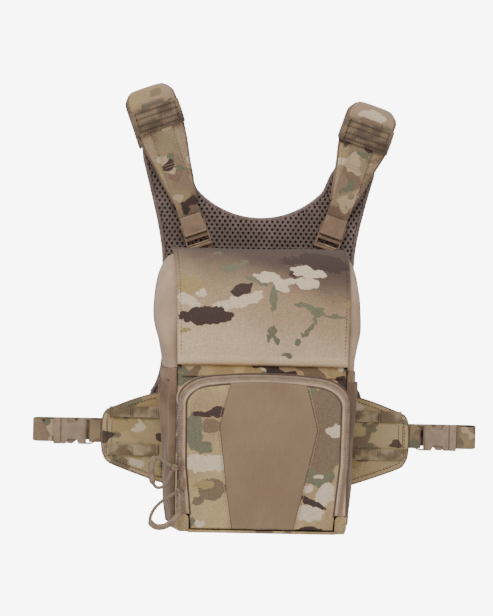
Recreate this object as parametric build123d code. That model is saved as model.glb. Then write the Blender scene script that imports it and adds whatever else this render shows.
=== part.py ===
from build123d import *
import math
import os

# Binocular harness pack, worn on the chest. Millimetres, +Z up, the front faces -Y.
# The origin is the middle of the mesh back panel's wearer face. "Depth" below is the distance
# in front of that face, so a depth of d lies at Y = -d. Left and right are the viewer's.

# Webbing and fabric
WEB_WIDTH = 21.0
WEB_THICK = 1.5
WALL = 2.5
GAP = 0.3

# Mesh back panel and the laminate wings sewn to it
PANEL_THICK = 8.0
SCOOP_Z = 162.5
SCOOP_HALF = 60.0
SCOOP_END_Z = 189.0
WING_NEAR = 8.2
WING_THICK = 4.0
WING_END = 146.0
WING_LOOP_R = 3.0
WING_LOOP_OUT = 1.8
WING_LOOP_SEWN_X = 118.0
ROW_HEIGHT = 10.5
ROW_ZS = (-24.0, -60.0)

# Main pouch: the walls, then the lid's curve over it
POUCH_HALF = 80.0
POUCH_BACK = 12.5
POUCH_FRONT = 83.0
POUCH_BOTTOM = -133.0
POUCH_RIM = 20.0
POUCH_BACK_TOP = 120.0
BACK_HALF = 76.0
FOAM_THICK = 4.0
FOAM_TOP = 116.0
LID_HALF = 83.5
LID_CENTRE_DEPTH = 14.0
LID_CENTRE_Z = 60.5
LID_OUTER_R = 72.5
LID_THICK = 4.0
LID_FOOT_Z = 23.3
LINING_THICK = 2.0
MAGNET_R = 7.5
MAGNET_THICK = 1.6
MAGNET_X = 45.0
MAGNET_Z = 105.0

# Side gussets: stretch walls that bulge out beside the lid
GUSSET_INNER = 80.1
GUSSET_BULGE = 97.0
GUSSET_BULGE_Z = 84.0
GUSSET_R = 64.5
GUSSET_FOOT_Z = 19.8

# Side pockets
SIDE_BACK = 15.0
SIDE_FRONT = 81.0
SIDE_BULGE = 92.0
SIDE_TOP = 8.0
HEM_TOP = 19.5

# Zipped front pocket
POCKET_NEAR = 83.4
POCKET_FAR = 108.0
POCKET_HALF = 82.0
POCKET_SHOULDER_Z = 9.0
POCKET_TOP_Z = 16.0
POCKET_CORNER_R = 17.0
ZIP_TOP_INSET = 3.5
ZIP_SIDE = ((79.0, -15.0), (78.3, -69.0), (73.5, -116.0))
ZIP_END_Z = -116.0
TAPE_WIDTH = 9.0
TAPE_THICK = 1.0
COIL_WIDTH = 2.2
COIL_THICK = 1.5
FLAP_THICK = 2.5
FLAP_FOOT_Z = -130.6

# Zip sliders and their cord pulls
SLIDER_UPPER_Z = -69.5
SLIDER_LOWER_Z = -88.0
SLIDER_DEPTH = 111.3
CORD_D = 3.2
GRIP_D = 6.0
PULL_DEPTH = 118.5

# Shoulder straps, each in its own leaning frame: foot position, lean from vertical in degrees
STRAP_FOOT = {"left": (-56.3, 19.7), "right": (63.5, 18.4)}
STRAP_FOOT_Z = 134.0
STRAP_HALF = 23.0
STRAP_THICK = 8.0
STRAP_NEAR = 8.3
STRAP_BEND_R = 9.65
STRAP_TURN = {"left": 142.0, "right": 127.0}
STRAP_TIP = 45.0
STRAP_TIP_HALF = 11.5
TAPER_DROP = 24.0
STRAP_REAR_END = 106.0
KEEPER_DROP = 24.5
KEEPER_LENGTH = 23.5
LOCK_LENGTH = 31.0
LOCK_WIDTH = 24.0
LOCK_NEAR = 9.8
LOCK_FAR = 13.6
BEHIND_LOCK = 8.1
LOW_BAR_TOP = 2.5
MIDDLE_BAR_TOP = 11.5

# Side-release buckles, measured outward from their wing end
BUCKLE_X = 152.5
BUCKLE_Z = -43.0
BUCKLE_DEPTH = 8.0
BUCKLE_HALF = 12.5
BUCKLE_THICK = 9.0
SOCKET_LENGTH = 32.0
PLUG_END = 39.0
BUCKLE_ROUND = 0.8
SOCKET_MOUTH_U = 11.0
SOCKET_MOUTH_HALF = 2.6
TONGUE_HALF = 2.2
STRAP_FOLD_X = 211.0
RETURN_DEPTH = -3.5
RETURN_RISE = 2.0
TAIL_X = 28.0

# Rear yoke, folded flat behind the back panel
YOKE_NEAR = -19.0
YOKE_THICK = 10.0


def block(x0, x1, near, far, z0, z1):
    """A box between two X, two depths and two Z."""
    size = Box(abs(x1 - x0), abs(far - near), abs(z1 - z0))
    return Pos((x0 + x1) / 2, -(near + far) / 2, (z0 + z1) / 2) * size


def outline(*points):
    """A face in local X, Z from its corner points."""
    return make_face(Polyline(*points, close=True))


def slab(face, near, far):
    """A local X, Z face made solid between two depths."""
    return extrude(Plane.XZ.offset(near) * face, amount=far - near)


def slice_x(face, x0, x1):
    """A face drawn in local Y, Z made solid between two X."""
    return extrude(Plane.YZ.offset(x0) * face, amount=x1 - x0)


def cut_from(solid, *cutters):
    """A solid with each cutter taken away."""
    for cutter in cutters:
        solid = solid - cutter
    return solid


def both(points):
    """Half an outline, given for +X from the top down, completed by its mirror image."""
    return list(points) + [(-x, z) for x, z in reversed(points)]


def save(shape, name):
    """Write a node's solids to its own file."""
    solids = shape.solids()
    node = Compound(children=list(solids)) if len(solids) > 1 else solids[0]
    export_step(node, os.path.join("parts", name + ".step"))


# ---------------------------------------------------------------- back panel and wings


def back_panel():
    """Spacer mesh with a round neck scoop and two arms that run up under the shoulder straps."""
    scoop = ThreePointArc((SCOOP_HALF, SCOOP_END_Z), (0, SCOOP_Z), (-SCOOP_HALF, SCOOP_END_Z))
    flank = [(102, 179), (94, 145), (91, 120), (89, 40), (93, 8), (104, -9), (100, -75), (85, -92), (80, -130)]
    right = [(68, 209), (84, 226), (113.5, 220), *flank]
    left = [(-x, z) for x, z in reversed([(68, 209), (90, 238), (117.5, 238), *flank])]
    edge = Polyline((SCOOP_HALF, SCOOP_END_Z), *right, *left, (-SCOOP_HALF, SCOOP_END_Z))
    return slab(make_face([*edge.edges(), scoop]), 0, PANEL_THICK)


def wing():
    """Laminate wing on the +X side, from under the pouch to the side-release buckle."""
    face = outline((84, -4), (108, -9), (137, -20.5), (143, -23), (146, -32), (146, -60),
                   (142, -69), (138, -73), (90, -90), (84, -90))
    return slab(face, WING_NEAR, WING_NEAR + WING_THICK)


def wing_rows():
    """Two sewn rows of webbing across a wing, for small pouches to thread through."""
    near = WING_NEAR + WING_THICK + 0.1
    far = near + WEB_THICK
    return Compound(children=[block(94, WING_END - 2, near, far, z - ROW_HEIGHT / 2, z + ROW_HEIGHT / 2)
                              for z in ROW_ZS])


def wing_strap():
    """Short webbing from behind the wing, round the buckle socket's bar and back on itself."""
    low = BUCKLE_Z - WEB_WIDTH / 2
    high = BUCKLE_Z + WEB_WIDTH / 2
    turn_x = BUCKLE_X + WING_LOOP_OUT
    inner = WING_LOOP_R - WEB_THICK / 2
    outer = WING_LOOP_R + WEB_THICK / 2
    rear = block(WING_LOOP_SEWN_X, turn_x, BUCKLE_DEPTH - outer, BUCKLE_DEPTH - inner, low, high)
    front = block(WING_END + 0.5, turn_x, BUCKLE_DEPTH + inner, BUCKLE_DEPTH + outer, low, high)
    ring = Cylinder(outer, WEB_WIDTH) - Cylinder(inner, WEB_WIDTH)
    ring = ring & (Pos(outer, 0, 0) * Box(2 * outer, 2 * outer, WEB_WIDTH))
    return rear + front + Pos(turn_x, -BUCKLE_DEPTH, BUCKLE_Z) * ring


# ---------------------------------------------------------------- main pouch


def main_pouch():
    """Camouflage shell: floor, front, sides up to the rim, and a back wall up behind the lid."""
    outer = block(-POUCH_HALF, POUCH_HALF, POUCH_BACK, POUCH_FRONT, POUCH_BOTTOM, POUCH_RIM)
    inside = POUCH_HALF - WALL
    floor = POUCH_BOTTOM + WALL
    cavity = block(-inside, inside, POUCH_BACK + WALL, POUCH_FRONT - WALL, floor, POUCH_RIM + 1)
    back = block(-BACK_HALF, BACK_HALF, POUCH_BACK, POUCH_BACK + WALL, POUCH_RIM - 1, POUCH_BACK_TOP)
    return outer - cavity + back


def lid_profile(radius, foot_z, back_depth):
    """Side view of the space under the lid's curve, in local Y, Z."""
    cy = -LID_CENTRE_DEPTH
    cz = LID_CENTRE_Z
    front = cy - radius
    top = cz + radius
    middle = (cy - radius * math.sin(math.radians(45)), cz + radius * math.cos(math.radians(45)))
    arc = ThreePointArc((front, cz), middle, (cy, top))
    rest = Polyline((cy, top), (-back_depth, top), (-back_depth, foot_z), (front, foot_z), (front, cz))
    return make_face([arc, *rest.edges()])


def gusset_body(inset):
    """A bulging solid: side view under the lid, cut to a front view and a bowed plan."""
    inner = GUSSET_INNER - (4.0 if inset else 0.0)
    front_x = GUSSET_INNER + 2.5 - inset
    back_x = GUSSET_INNER + 6 - inset
    side = slice_x(lid_profile(GUSSET_R - inset, GUSSET_FOOT_Z + inset, POUCH_BACK), inner, 110)
    side = side & block(inner - 1, 111, POUCH_BACK + 0.7 + inset, 120, 0, 140)
    swell = GUSSET_BULGE - inset
    bow = ThreePointArc((swell - 8.5, GUSSET_FOOT_Z - 1), (swell, GUSSET_BULGE_Z), (swell - 6, 118))
    edge = Polyline((swell - 6, 118), (swell - 14, 140), (inner - 1, 140), (inner - 1, GUSSET_FOOT_Z - 1),
                    (swell - 8.5, GUSSET_FOOT_Z - 1))
    front = slab(make_face([bow, *edge.edges()]), 0, 120)
    plan_bow = ThreePointArc((front_x, -81), (swell, -42), (back_x, -10))
    plan_edge = Polyline((back_x, -10), (inner - 1, -10), (inner - 1, -81), (front_x, -81))
    plan = extrude(make_face([plan_bow, *plan_edge.edges()]), amount=150)
    return side & front & plan


def side_gusset():
    """Stretch side wall on the +X side, hollow and open towards the compartment."""
    return gusset_body(0.0) - gusset_body(WALL)


def foam_panels():
    """Closed-cell foam behind, in front of and under the binocular."""
    half = BACK_HALF - 1
    near = POUCH_BACK + WALL + 0.2
    far = POUCH_FRONT - WALL - GAP
    floor = POUCH_BOTTOM + WALL + GAP
    top = floor + 2 * FOAM_THICK
    rear = block(-half, half, near, near + FOAM_THICK, top + GAP, FOAM_TOP)
    front = block(-half, half, far - FOAM_THICK, far, top + GAP, POUCH_RIM - 6)
    base = block(-half, half, near, far, floor, top)
    return Compound(children=[rear, front, base])


def lid_curve(outer, inner, foot_z, half):
    """A curved sheet between two radii about the lid's centre, with a straight foot."""
    solid = slice_x(lid_profile(outer, foot_z, LID_CENTRE_DEPTH - 2), -half, half)
    hollow = slice_x(lid_profile(inner, foot_z - 1, LID_CENTRE_DEPTH - 4), -half - 1, half + 1)
    return (solid - hollow) & block(-half, half, LID_CENTRE_DEPTH, 120, 0, 140)


def lid_shell():
    inner = LID_OUTER_R - LID_THICK
    return lid_curve(LID_OUTER_R, inner, LID_FOOT_Z, LID_HALF)


def lid_lining():
    """Brushed lining under the lid, let in for the two magnets."""
    outer = LID_OUTER_R - LID_THICK - 0.1
    sheet = lid_curve(outer, outer - LINING_THICK, LID_FOOT_Z + 4, LID_HALF - 6)
    pocket = lid_magnet_shape(MAGNET_R + 0.2, MAGNET_THICK + 0.6)
    return cut_from(sheet, *pocket)


def lid_magnet_shape(radius, thick):
    """Discs let into the lining on the lid's shoulder, facing the gusset rims."""
    discs = []
    angle = math.radians(30)
    reach = LID_OUTER_R - LID_THICK - 1.2
    for sign in (-1, 1):
        y = -LID_CENTRE_DEPTH - reach * math.sin(angle)
        z = LID_CENTRE_Z + reach * math.cos(angle)
        discs.append(Pos(sign * MAGNET_X, y, z) * Rot(math.degrees(angle), 0, 0) * Cylinder(radius, thick))
    return discs


def lid_magnets():
    return Compound(children=lid_magnet_shape(MAGNET_R, MAGNET_THICK))


def pouch_magnets():
    """The lid's catch: two discs on the back wall, behind the rear foam's top."""
    disc = Rot(90, 0, 0) * Cylinder(MAGNET_R, MAGNET_THICK)
    return Compound(children=[Pos(x, -POUCH_BACK + 0.95, MAGNET_Z) * disc for x in (-MAGNET_X, MAGNET_X)])


# ---------------------------------------------------------------- side pockets


def side_shape(bulge, front, back, inner):
    """Plan of a side pocket on the +X side: a shallow bow outward, in local X, Y."""
    middle = -(front + back) / 2
    bow = ThreePointArc((inner + 1.5, -front), (bulge, middle), (inner + 1.5, -back))
    rest = Polyline((inner + 1.5, -back), (inner, -back), (inner, -front), (inner + 1.5, -front))
    return make_face([bow, *rest.edges()])


def side_pocket():
    """Gathered pocket on the pouch's +X side, open at the top."""
    inner = POUCH_HALF + 0.2
    height = SIDE_TOP - (POUCH_BOTTOM + 6)
    outer = extrude(side_shape(SIDE_BULGE, SIDE_FRONT, SIDE_BACK, inner), amount=height)
    room = extrude(side_shape(SIDE_BULGE - WALL, SIDE_FRONT - 3, SIDE_BACK + 3, inner - 1), amount=height)
    return Pos(0, 0, POUCH_BOTTOM + 6) * (outer - Pos(0, 0, WALL) * room)


def side_hem():
    """Elastic binding round the side pocket's mouth."""
    inner = POUCH_HALF + 0.2
    height = HEM_TOP - SIDE_TOP - 0.1
    outer = extrude(side_shape(SIDE_BULGE + 0.6, SIDE_FRONT + 0.6, SIDE_BACK - 0.6, inner), amount=height)
    room = extrude(side_shape(SIDE_BULGE - WALL, SIDE_FRONT - 3, SIDE_BACK + 3, inner - 1), amount=height)
    return Pos(0, 0, SIDE_TOP + 0.1) * (outer - room)


# ---------------------------------------------------------------- zipped front pocket


def pocket_face(inset):
    """Front view of the pocket: a crowned top with round corners, and sides to its foot."""
    half_top = POCKET_HALF - inset
    half_foot = half_top - 1
    shoulder = POCKET_SHOULDER_Z - inset
    foot = POUCH_BOTTOM + inset
    arc = ThreePointArc((-half_top, shoulder), (0, POCKET_TOP_Z - inset), (half_top, shoulder))
    rest = Polyline((half_top, shoulder), (half_foot, foot), (-half_foot, foot), (-half_top, shoulder))
    face = make_face([arc, *rest.edges()])
    return fillet(face.vertices().group_by(Axis.Y)[-1], POCKET_CORNER_R - inset)


def zip_face(inset):
    """Front view inside the zip's centre line, drawn in by an inset."""
    crown = POCKET_TOP_Z - ZIP_TOP_INSET - inset
    shoulder = POCKET_SHOULDER_Z - ZIP_TOP_INSET - inset
    (x0, _), (x1, z1), (x2, z2) = ZIP_SIDE
    slope = (x1 - x2) / (z1 - z2)
    x3 = x2 - slope * (z2 - FLAP_FOOT_Z)
    arc = ThreePointArc((-x0 + inset, shoulder), (0, crown), (x0 - inset, shoulder))
    sides = Polyline((x0 - inset, shoulder), (x1 - inset, z1), (x2 - inset, z2), (x3 - inset, FLAP_FOOT_Z),
                     (inset - x3, FLAP_FOOT_Z), (inset - x2, z2), (inset - x1, z1), (inset - x0, shoulder))
    face = make_face([arc, *sides.edges()])
    return fillet(face.vertices().group_by(Axis.Y)[-1], POCKET_CORNER_R - inset * 0.6)


def above(z):
    """Everything above a height, to end the zip where its tapes are sewn in."""
    return block(-120, 120, 60, 140, z, 60)


def pocket_gusset():
    """The pocket's wall all round, with a front corner each side below the zip's ends."""
    outer = pocket_face(0.0)
    inner = pocket_face(WALL)
    wall = slab(outer, POCKET_NEAR, POCKET_FAR) - slab(inner, POCKET_NEAR - 1, POCKET_FAR + 1)
    corners = []
    for sign in (-1, 1):
        points = ((73, ZIP_END_Z - 0.4), (POCKET_HALF - 0.9, ZIP_END_Z - 0.4),
                  (POCKET_HALF - 1, POUCH_BOTTOM), (66, POUCH_BOTTOM), (66, -127))
        corners.append(slab(outline(*[(sign * x, z) for x, z in points]), POCKET_FAR, POCKET_FAR + 2.2))
    return wall + corners[0] + corners[1]


def body_tape():
    """The gusset's half of the zip tape."""
    ring = slab(pocket_face(0.0), POCKET_FAR + 0.1, POCKET_FAR + 0.1 + TAPE_THICK)
    return (ring - slab(zip_face(-0.3), POCKET_FAR - 1, POCKET_FAR + 5)) & above(ZIP_END_Z)


def flap_tape():
    """The flap's half of the zip tape."""
    ring = slab(zip_face(0.3), POCKET_FAR + GAP, POCKET_FAR + GAP + TAPE_THICK)
    return (ring - slab(zip_face(TAPE_WIDTH + 2), POCKET_FAR - 1, POCKET_FAR + 5)) & above(ZIP_END_Z)


def coil(outset, inset):
    """One row of zip coil, as a plain strip along the centre line."""
    near = POCKET_FAR + GAP + TAPE_THICK + 0.1
    strip = slab(zip_face(outset), near, near + COIL_THICK) - slab(zip_face(inset), near - 1, near + 5)
    return strip & above(ZIP_END_Z)


def centre_outline(grow):
    """Hourglass of stretch fabric in the middle of the flap."""
    points = both([(35 + grow, 30), (47 + grow, -33), (29 + grow, -140)])
    return outline(*points)


def flap_panels():
    """Camouflage panels each side of the stretch centre."""
    near = POCKET_FAR + GAP + TAPE_THICK + 0.1
    sheet = slab(zip_face(TAPE_WIDTH), near, near + FLAP_THICK)
    return sheet - slab(centre_outline(0.0), near - 1, near + 6)


def flap_centre():
    near = POCKET_FAR + GAP + TAPE_THICK + 0.1
    sheet = slab(zip_face(TAPE_WIDTH), near, near + FLAP_THICK - 0.5)
    return sheet & slab(centre_outline(-0.1), near - 1, near + 6)


def zip_x(z):
    """X of the left zip's centre line at a height."""
    (x0, z0), (x1, z1), (x2, z2) = ZIP_SIDE
    if z > z1:
        return -(x1 + (x0 - x1) * (z - z1) / (z0 - z1))
    return -(x2 + (x1 - x2) * (z - z2) / (z1 - z2))


def slider(z):
    """Slider on the left coil, with a bridge that holds its pull cord."""
    x = zip_x(z)
    body = block(x - 4, x + 4, SLIDER_DEPTH, SLIDER_DEPTH + 2, z - 6.5, z + 6.5)
    body = fillet(body.edges().filter_by(Axis.Y), 2.5)
    bridge = block(x - 1.2, x + 1.2, SLIDER_DEPTH + 1.5, SLIDER_DEPTH + 4.2, z - 5, z + 5)
    window = block(x - 2, x + 2, SLIDER_DEPTH + 1.9, SLIDER_DEPTH + 3.2, z - 3.6, z + 3.6)
    return body + (bridge - window)


# ---------------------------------------------------------------- pull cords

UPPER_ROUTE = ((-87.0, -72.0), (-92.6, -68.8), (-99.2, -63.0), (-105.2, -67.0), (-105.6, -77.5),
               (-104.0, -88.0), (-99.5, -93.2), (-92.5, -91.0), (-88.6, -83.0), (-86.4, -76.4))
LOWER_ROUTE = ((-83.5, -97.5), (-91.5, -102.5), (-99.0, -108.5), (-104.5, -116.5), (-106.0, -124.5),
               (-100.5, -129.5), (-92.0, -129.0), (-84.0, -124.0), (-77.5, -115.5), (-79.0, -106.0),
               (-80.8, -100.6))


def turn_radii(points):
    """Arc radius at each corner: 0.45 of the shorter run over the tangent of half the turn."""
    radii = []
    for before, at, after in zip(points, points[1:], points[2:]):
        arriving = at - before
        leaving = after - at
        half_turn = math.radians(arriving.get_angle(leaving) / 2)
        radii.append(0.45 * min(arriving.length, leaving.length) / math.tan(half_turn))
    return radii


def route_wire(route):
    points = [Vector(x, -PULL_DEPTH, z) for x, z in route]
    radii = turn_radii(points)
    return FilletPolyline(*points, radius=radii), radii


def tube(wire, diameter):
    start = Plane(origin=wire @ 0, z_dir=wire % 0)
    return sweep(start * Circle(diameter / 2), path=wire)


def pull(name, route, first, last):
    """A pull's cord, its grip over the corners first to last, and the knot at the slider."""
    wire, radii = route_wire(route)
    cord = tube(wire, CORD_D)
    print(name, "radii", [round(r, 1) for r in radii], "length", round(wire.length, 1))
    section = math.pi * CORD_D**2 / 4
    print(name, "volume", round(cord.volume, 1), "section x length", round(section * wire.length, 1))
    edges = wire.edges()
    covered = Wire(edges[first:last])
    grip = tube(covered, GRIP_D) - tube(covered, CORD_D + 0.2)
    return cord, grip


def knot(end, right, up):
    """Overhand knot that ties the cord's two ends, a little to the right of and above its first end."""
    return Pos(end[0] + right, -PULL_DEPTH, end[1] + up) * Sphere(CORD_D)


# ---------------------------------------------------------------- shoulder straps


def in_strap_frame(shape, side):
    """Stands a shape, drawn upright on the strap's own axis, at its foot and lean."""
    x, lean = STRAP_FOOT[side]
    sign = -1 if side == "left" else 1
    return Pos(x, 0, STRAP_FOOT_Z) * Rot(0, sign * lean, 0) * shape


def strap_loop(turn):
    """Padded strip that climbs in front, turns over the shoulder and comes down behind."""
    half = STRAP_HALF
    outer = STRAP_BEND_R + STRAP_THICK
    centre = STRAP_NEAR - STRAP_BEND_R
    front = block(-half, half, STRAP_NEAR, STRAP_NEAR + STRAP_THICK, STRAP_TIP, turn)
    rear = block(-half, half, centre - outer, centre - STRAP_BEND_R, STRAP_REAR_END, turn)
    ring = Rot(0, 90, 0) * (Cylinder(outer, 2 * half) - Cylinder(STRAP_BEND_R, 2 * half))
    over = Pos(0, -centre, turn) * ring & block(-half, half, -60, 60, turn, turn + 60)
    return front + rear + over


def shoulder_strap(turn):
    """Padded strap, tapering to its tip over the mesh arm."""
    loop = strap_loop(turn)
    shape = both([(STRAP_HALF, 170), (STRAP_HALF, turn - TAPER_DROP), (STRAP_TIP_HALF, STRAP_TIP)])
    taper = slab(outline(*shape), 0, 30)
    return loop - (block(-30, 30, 0, 30, STRAP_TIP - 1, 175) - taper)


def shoulder_webbing(turn):
    """Webbing over the strap: down behind the ladder lock's top bar and over its middle bar."""
    half = WEB_WIDTH / 2
    near = STRAP_NEAR + STRAP_THICK + 0.1
    lay = block(-half, half, near, near + WEB_THICK, STRAP_TIP, turn + 3)
    back = -BEHIND_LOCK
    path = make_face(Polyline((-near, STRAP_TIP), (-near - WEB_THICK, STRAP_TIP), (back - WEB_THICK, 27),
                              (back, 27), close=True))
    strand = block(-half, half, BEHIND_LOCK, BEHIND_LOCK + WEB_THICK, MIDDLE_BAR_TOP + 0.2, 27)
    hook = block(-half, half, BEHIND_LOCK, LOCK_FAR - 0.2, MIDDLE_BAR_TOP + 0.2, MIDDLE_BAR_TOP + 1.7)
    return lay + slice_x(path, -half, half) + strand + hook


def keeper(turn):
    """Stitched sleeve round the padded strap and its webbing."""
    low = turn - KEEPER_DROP
    high = low + KEEPER_LENGTH
    near = STRAP_NEAR - 0.2
    far = STRAP_NEAR + STRAP_THICK + WEB_THICK + 0.3
    outer = block(-STRAP_HALF - 1.2, STRAP_HALF + 1.2, near - 1.2, far + 1.2, low, high)
    inner = block(-STRAP_HALF - 0.1, STRAP_HALF + 0.1, near, far, low - 1, high + 1)
    return outer - inner


def ladder_lock():
    """Ladder lock: an open frame with three webbing bars, and a thumb tab in front of its top."""
    half = LOCK_WIDTH / 2
    frame = block(-half, half, LOCK_NEAR, LOCK_FAR, -1.0, LOCK_LENGTH - 9)
    frame = fillet(frame.edges().filter_by(Axis.Y), 1.5)
    slot = WEB_WIDTH / 2 + 0.2
    low = block(-slot, slot, 8, 15, LOW_BAR_TOP, MIDDLE_BAR_TOP - 4)
    high = block(-slot, slot, 8, 15, MIDDLE_BAR_TOP, 18.5)
    tab = block(-half + 0.6, half - 0.6, LOCK_FAR - 0.5, LOCK_FAR + 2, MIDDLE_BAR_TOP + 1.9, LOCK_LENGTH)
    return cut_from(frame, low, high) + tab


def anchor_webbing():
    """Webbing from the ladder lock's lower bar down to the back panel."""
    half = WEB_WIDTH / 2
    strand = block(-half, half, BEHIND_LOCK, BEHIND_LOCK + WEB_THICK, -34, LOW_BAR_TOP + 1.7)
    hook = block(-half, half, BEHIND_LOCK, LOCK_FAR - 0.2, LOW_BAR_TOP + 0.2, LOW_BAR_TOP + 1.7)
    return strand + hook


def rear_webbing():
    """Webbing down the back of the strap, on to the yoke."""
    half = WEB_WIDTH / 2
    centre = STRAP_NEAR - STRAP_BEND_R
    near = centre - STRAP_BEND_R - STRAP_THICK - 0.2 - WEB_THICK
    return block(-half, half, near, near + WEB_THICK, -72, 118)


# ---------------------------------------------------------------- buckles


def buckle_box(u0, u1, v0, v1, w0, w1):
    """A box in the +X buckle's frame: u outward, v up, w forward, from its centre line."""
    frame = Pos(BUCKLE_X, -BUCKLE_DEPTH, BUCKLE_Z)
    return frame * block(u0, u1, w0, w1, v0, v1)


def buckle_face(points, w0, w1):
    """An outline in the buckle's u, v made solid between two w."""
    face = outline(*[(BUCKLE_X + u, BUCKLE_Z + v) for u, v in points])
    return slab(face, BUCKLE_DEPTH + w0, BUCKLE_DEPTH + w1)


def softened(body):
    """A buckle part with its upright edges rounded and its front and rear outlines bevelled."""
    body = fillet(body.edges().filter_by(Axis.Y), BUCKLE_ROUND)
    faces = body.faces().filter_by(Axis.Y).sort_by(Axis.Y)
    return chamfer([*faces[0].edges(), *faces[-1].edges()], BUCKLE_ROUND * 0.7)


def buckle_socket():
    """Socket: webbing bar, then two plates with a window each side for the prongs' grips."""
    half = BUCKLE_THICK / 2
    edge = [(0, 10.8), (4, BUCKLE_HALF), (15, BUCKLE_HALF), (17.5, 7.8), (25.5, 7.8), (27.5, BUCKLE_HALF),
            (SOCKET_LENGTH, BUCKLE_HALF)]
    low = [(u, -v) for u, v in reversed(edge)]
    body = softened(buckle_face(edge + low, -half, half))
    reach = WEB_WIDTH / 2 + 0.4
    rails = [buckle_box(-1, 9.5, -13, 13, half - 2, half + 1),
             buckle_box(-1, 9.5, -13, 13, -half - 1, 2 - half)]
    bar = [buckle_box(-1, 3.2, -reach, reach, 1.4, 9), buckle_box(-1, 3.2, -reach, reach, -9, -1.4),
           buckle_box(-1, 0.5, -reach, reach, -9, 9)]
    slot = buckle_box(3.1, 8.0, -reach, reach, -9, 9)
    mouth = buckle_box(SOCKET_MOUTH_U, 40, -14, 14, -SOCKET_MOUTH_HALF, SOCKET_MOUTH_HALF)
    return cut_from(body, *rails, *bar, slot, mouth)


def buckle_plug():
    """Plug: base with a webbing channel, and a centre tongue into the socket."""
    half = BUCKLE_THICK / 2
    base = buckle_box(SOCKET_LENGTH + 0.4, PLUG_END, -BUCKLE_HALF, BUCKLE_HALF, -half, half)
    base = softened(base)
    tongue = buckle_box(SOCKET_MOUTH_U + 3, SOCKET_LENGTH + 1, -TONGUE_HALF, TONGUE_HALF, -TONGUE_HALF,
                        TONGUE_HALF)
    reach = WEB_WIDTH / 2 + 0.4
    channel = buckle_box(34.2, 45, -reach, reach, -0.8, 1.3)
    back_slot = buckle_box(34.2, 36.8, -reach, reach, -9, 0)
    return cut_from(base + tongue, channel, back_slot)


def buckle_prong():
    """Upper prong: a springy arm from the plug's base, with its grip in the socket's window."""
    points = ((31.9, 4.4), (31.9, 7.0), (26.6, 7.0), (26.2, 11.6), (22, 12.3), (18.2, 10.0), (16.2, 7.4),
              (15.2, 5.2), (16.5, 4.6))
    prong = buckle_face(points, -TONGUE_HALF, TONGUE_HALF)
    return fillet(prong.edges().filter_by(Axis.Y).group_by(Axis.Z)[-1], BUCKLE_ROUND / 2)


def side_strap():
    """Webbing from the plug, folded at its outer end and returning behind to the rear yoke."""
    half = WEB_WIDTH / 2
    front = BUCKLE_DEPTH + 0.25
    middle = (front + RETURN_DEPTH) / 2
    radius = (front - RETURN_DEPTH) / 2
    turn_x = STRAP_FOLD_X - radius - WEB_THICK / 2
    low = BUCKLE_Z - half
    high = BUCKLE_Z + half
    out = block(BUCKLE_X + 34.8, turn_x, front - WEB_THICK / 2, front + WEB_THICK / 2, low, high)
    ring = Cylinder(radius + WEB_THICK / 2, WEB_WIDTH) - Cylinder(radius - WEB_THICK / 2, WEB_WIDTH)
    ring = Pos(turn_x, -middle, BUCKLE_Z) * (ring & (Pos(20, 0, 0) * Box(40, 60, WEB_WIDTH)))
    back = block(TAIL_X, turn_x, RETURN_DEPTH - WEB_THICK / 2, RETURN_DEPTH + WEB_THICK / 2,
                 low + RETURN_RISE, high + RETURN_RISE)
    return out + ring + back


# ---------------------------------------------------------------- rear yoke


def rear_yoke():
    """Padded yoke that joins the rear webbings and the side straps' adjusters."""
    face = outline(*both([(58, 92), (72, 84), (44, 20), (62, -20), (62, -58)]))
    return slab(face, YOKE_NEAR, YOKE_NEAR + YOKE_THICK)


def yoke_adjusters():
    """A webbing adjuster each side, the side strap's tail threaded through it."""
    solids = []
    middle = BUCKLE_Z + RETURN_RISE
    reach = WEB_WIDTH / 2 + 0.6
    for sign in (-1, 1):
        outer = block(sign * 56, sign * 68, RETURN_DEPTH - 2.8, RETURN_DEPTH + 2.8,
                      middle - 13, middle + 13)
        window = block(sign * 50, sign * 70, RETURN_DEPTH - 1.3, RETURN_DEPTH + 1.3,
                       middle - reach, middle + reach)
        tab = block(sign * 50, sign * 61, -8.8, -6.2, middle - 10, middle + 10)
        solids.append(outer - window + tab)
    return Compound(children=solids)


# ---------------------------------------------------------------- write the parts


def write_pairs(name, shape):
    save(mirror(shape, about=Plane.YZ), name + "_left")
    save(shape, name + "_right")


def write_pulls():
    cord, grip = pull("upper pull", UPPER_ROUTE, 4, 10)
    save(cord, "pull_cord_upper")
    save(grip, "pull_grip_upper")
    save(knot(UPPER_ROUTE[0], 3.6, -1.4), "pull_knot_upper")
    cord, grip = pull("lower pull", LOWER_ROUTE, 7, 17)
    save(cord, "pull_cord_lower")
    save(grip, "pull_grip_lower")
    save(knot(LOWER_ROUTE[0], 3.1, 1.3), "pull_knot_lower")


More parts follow.
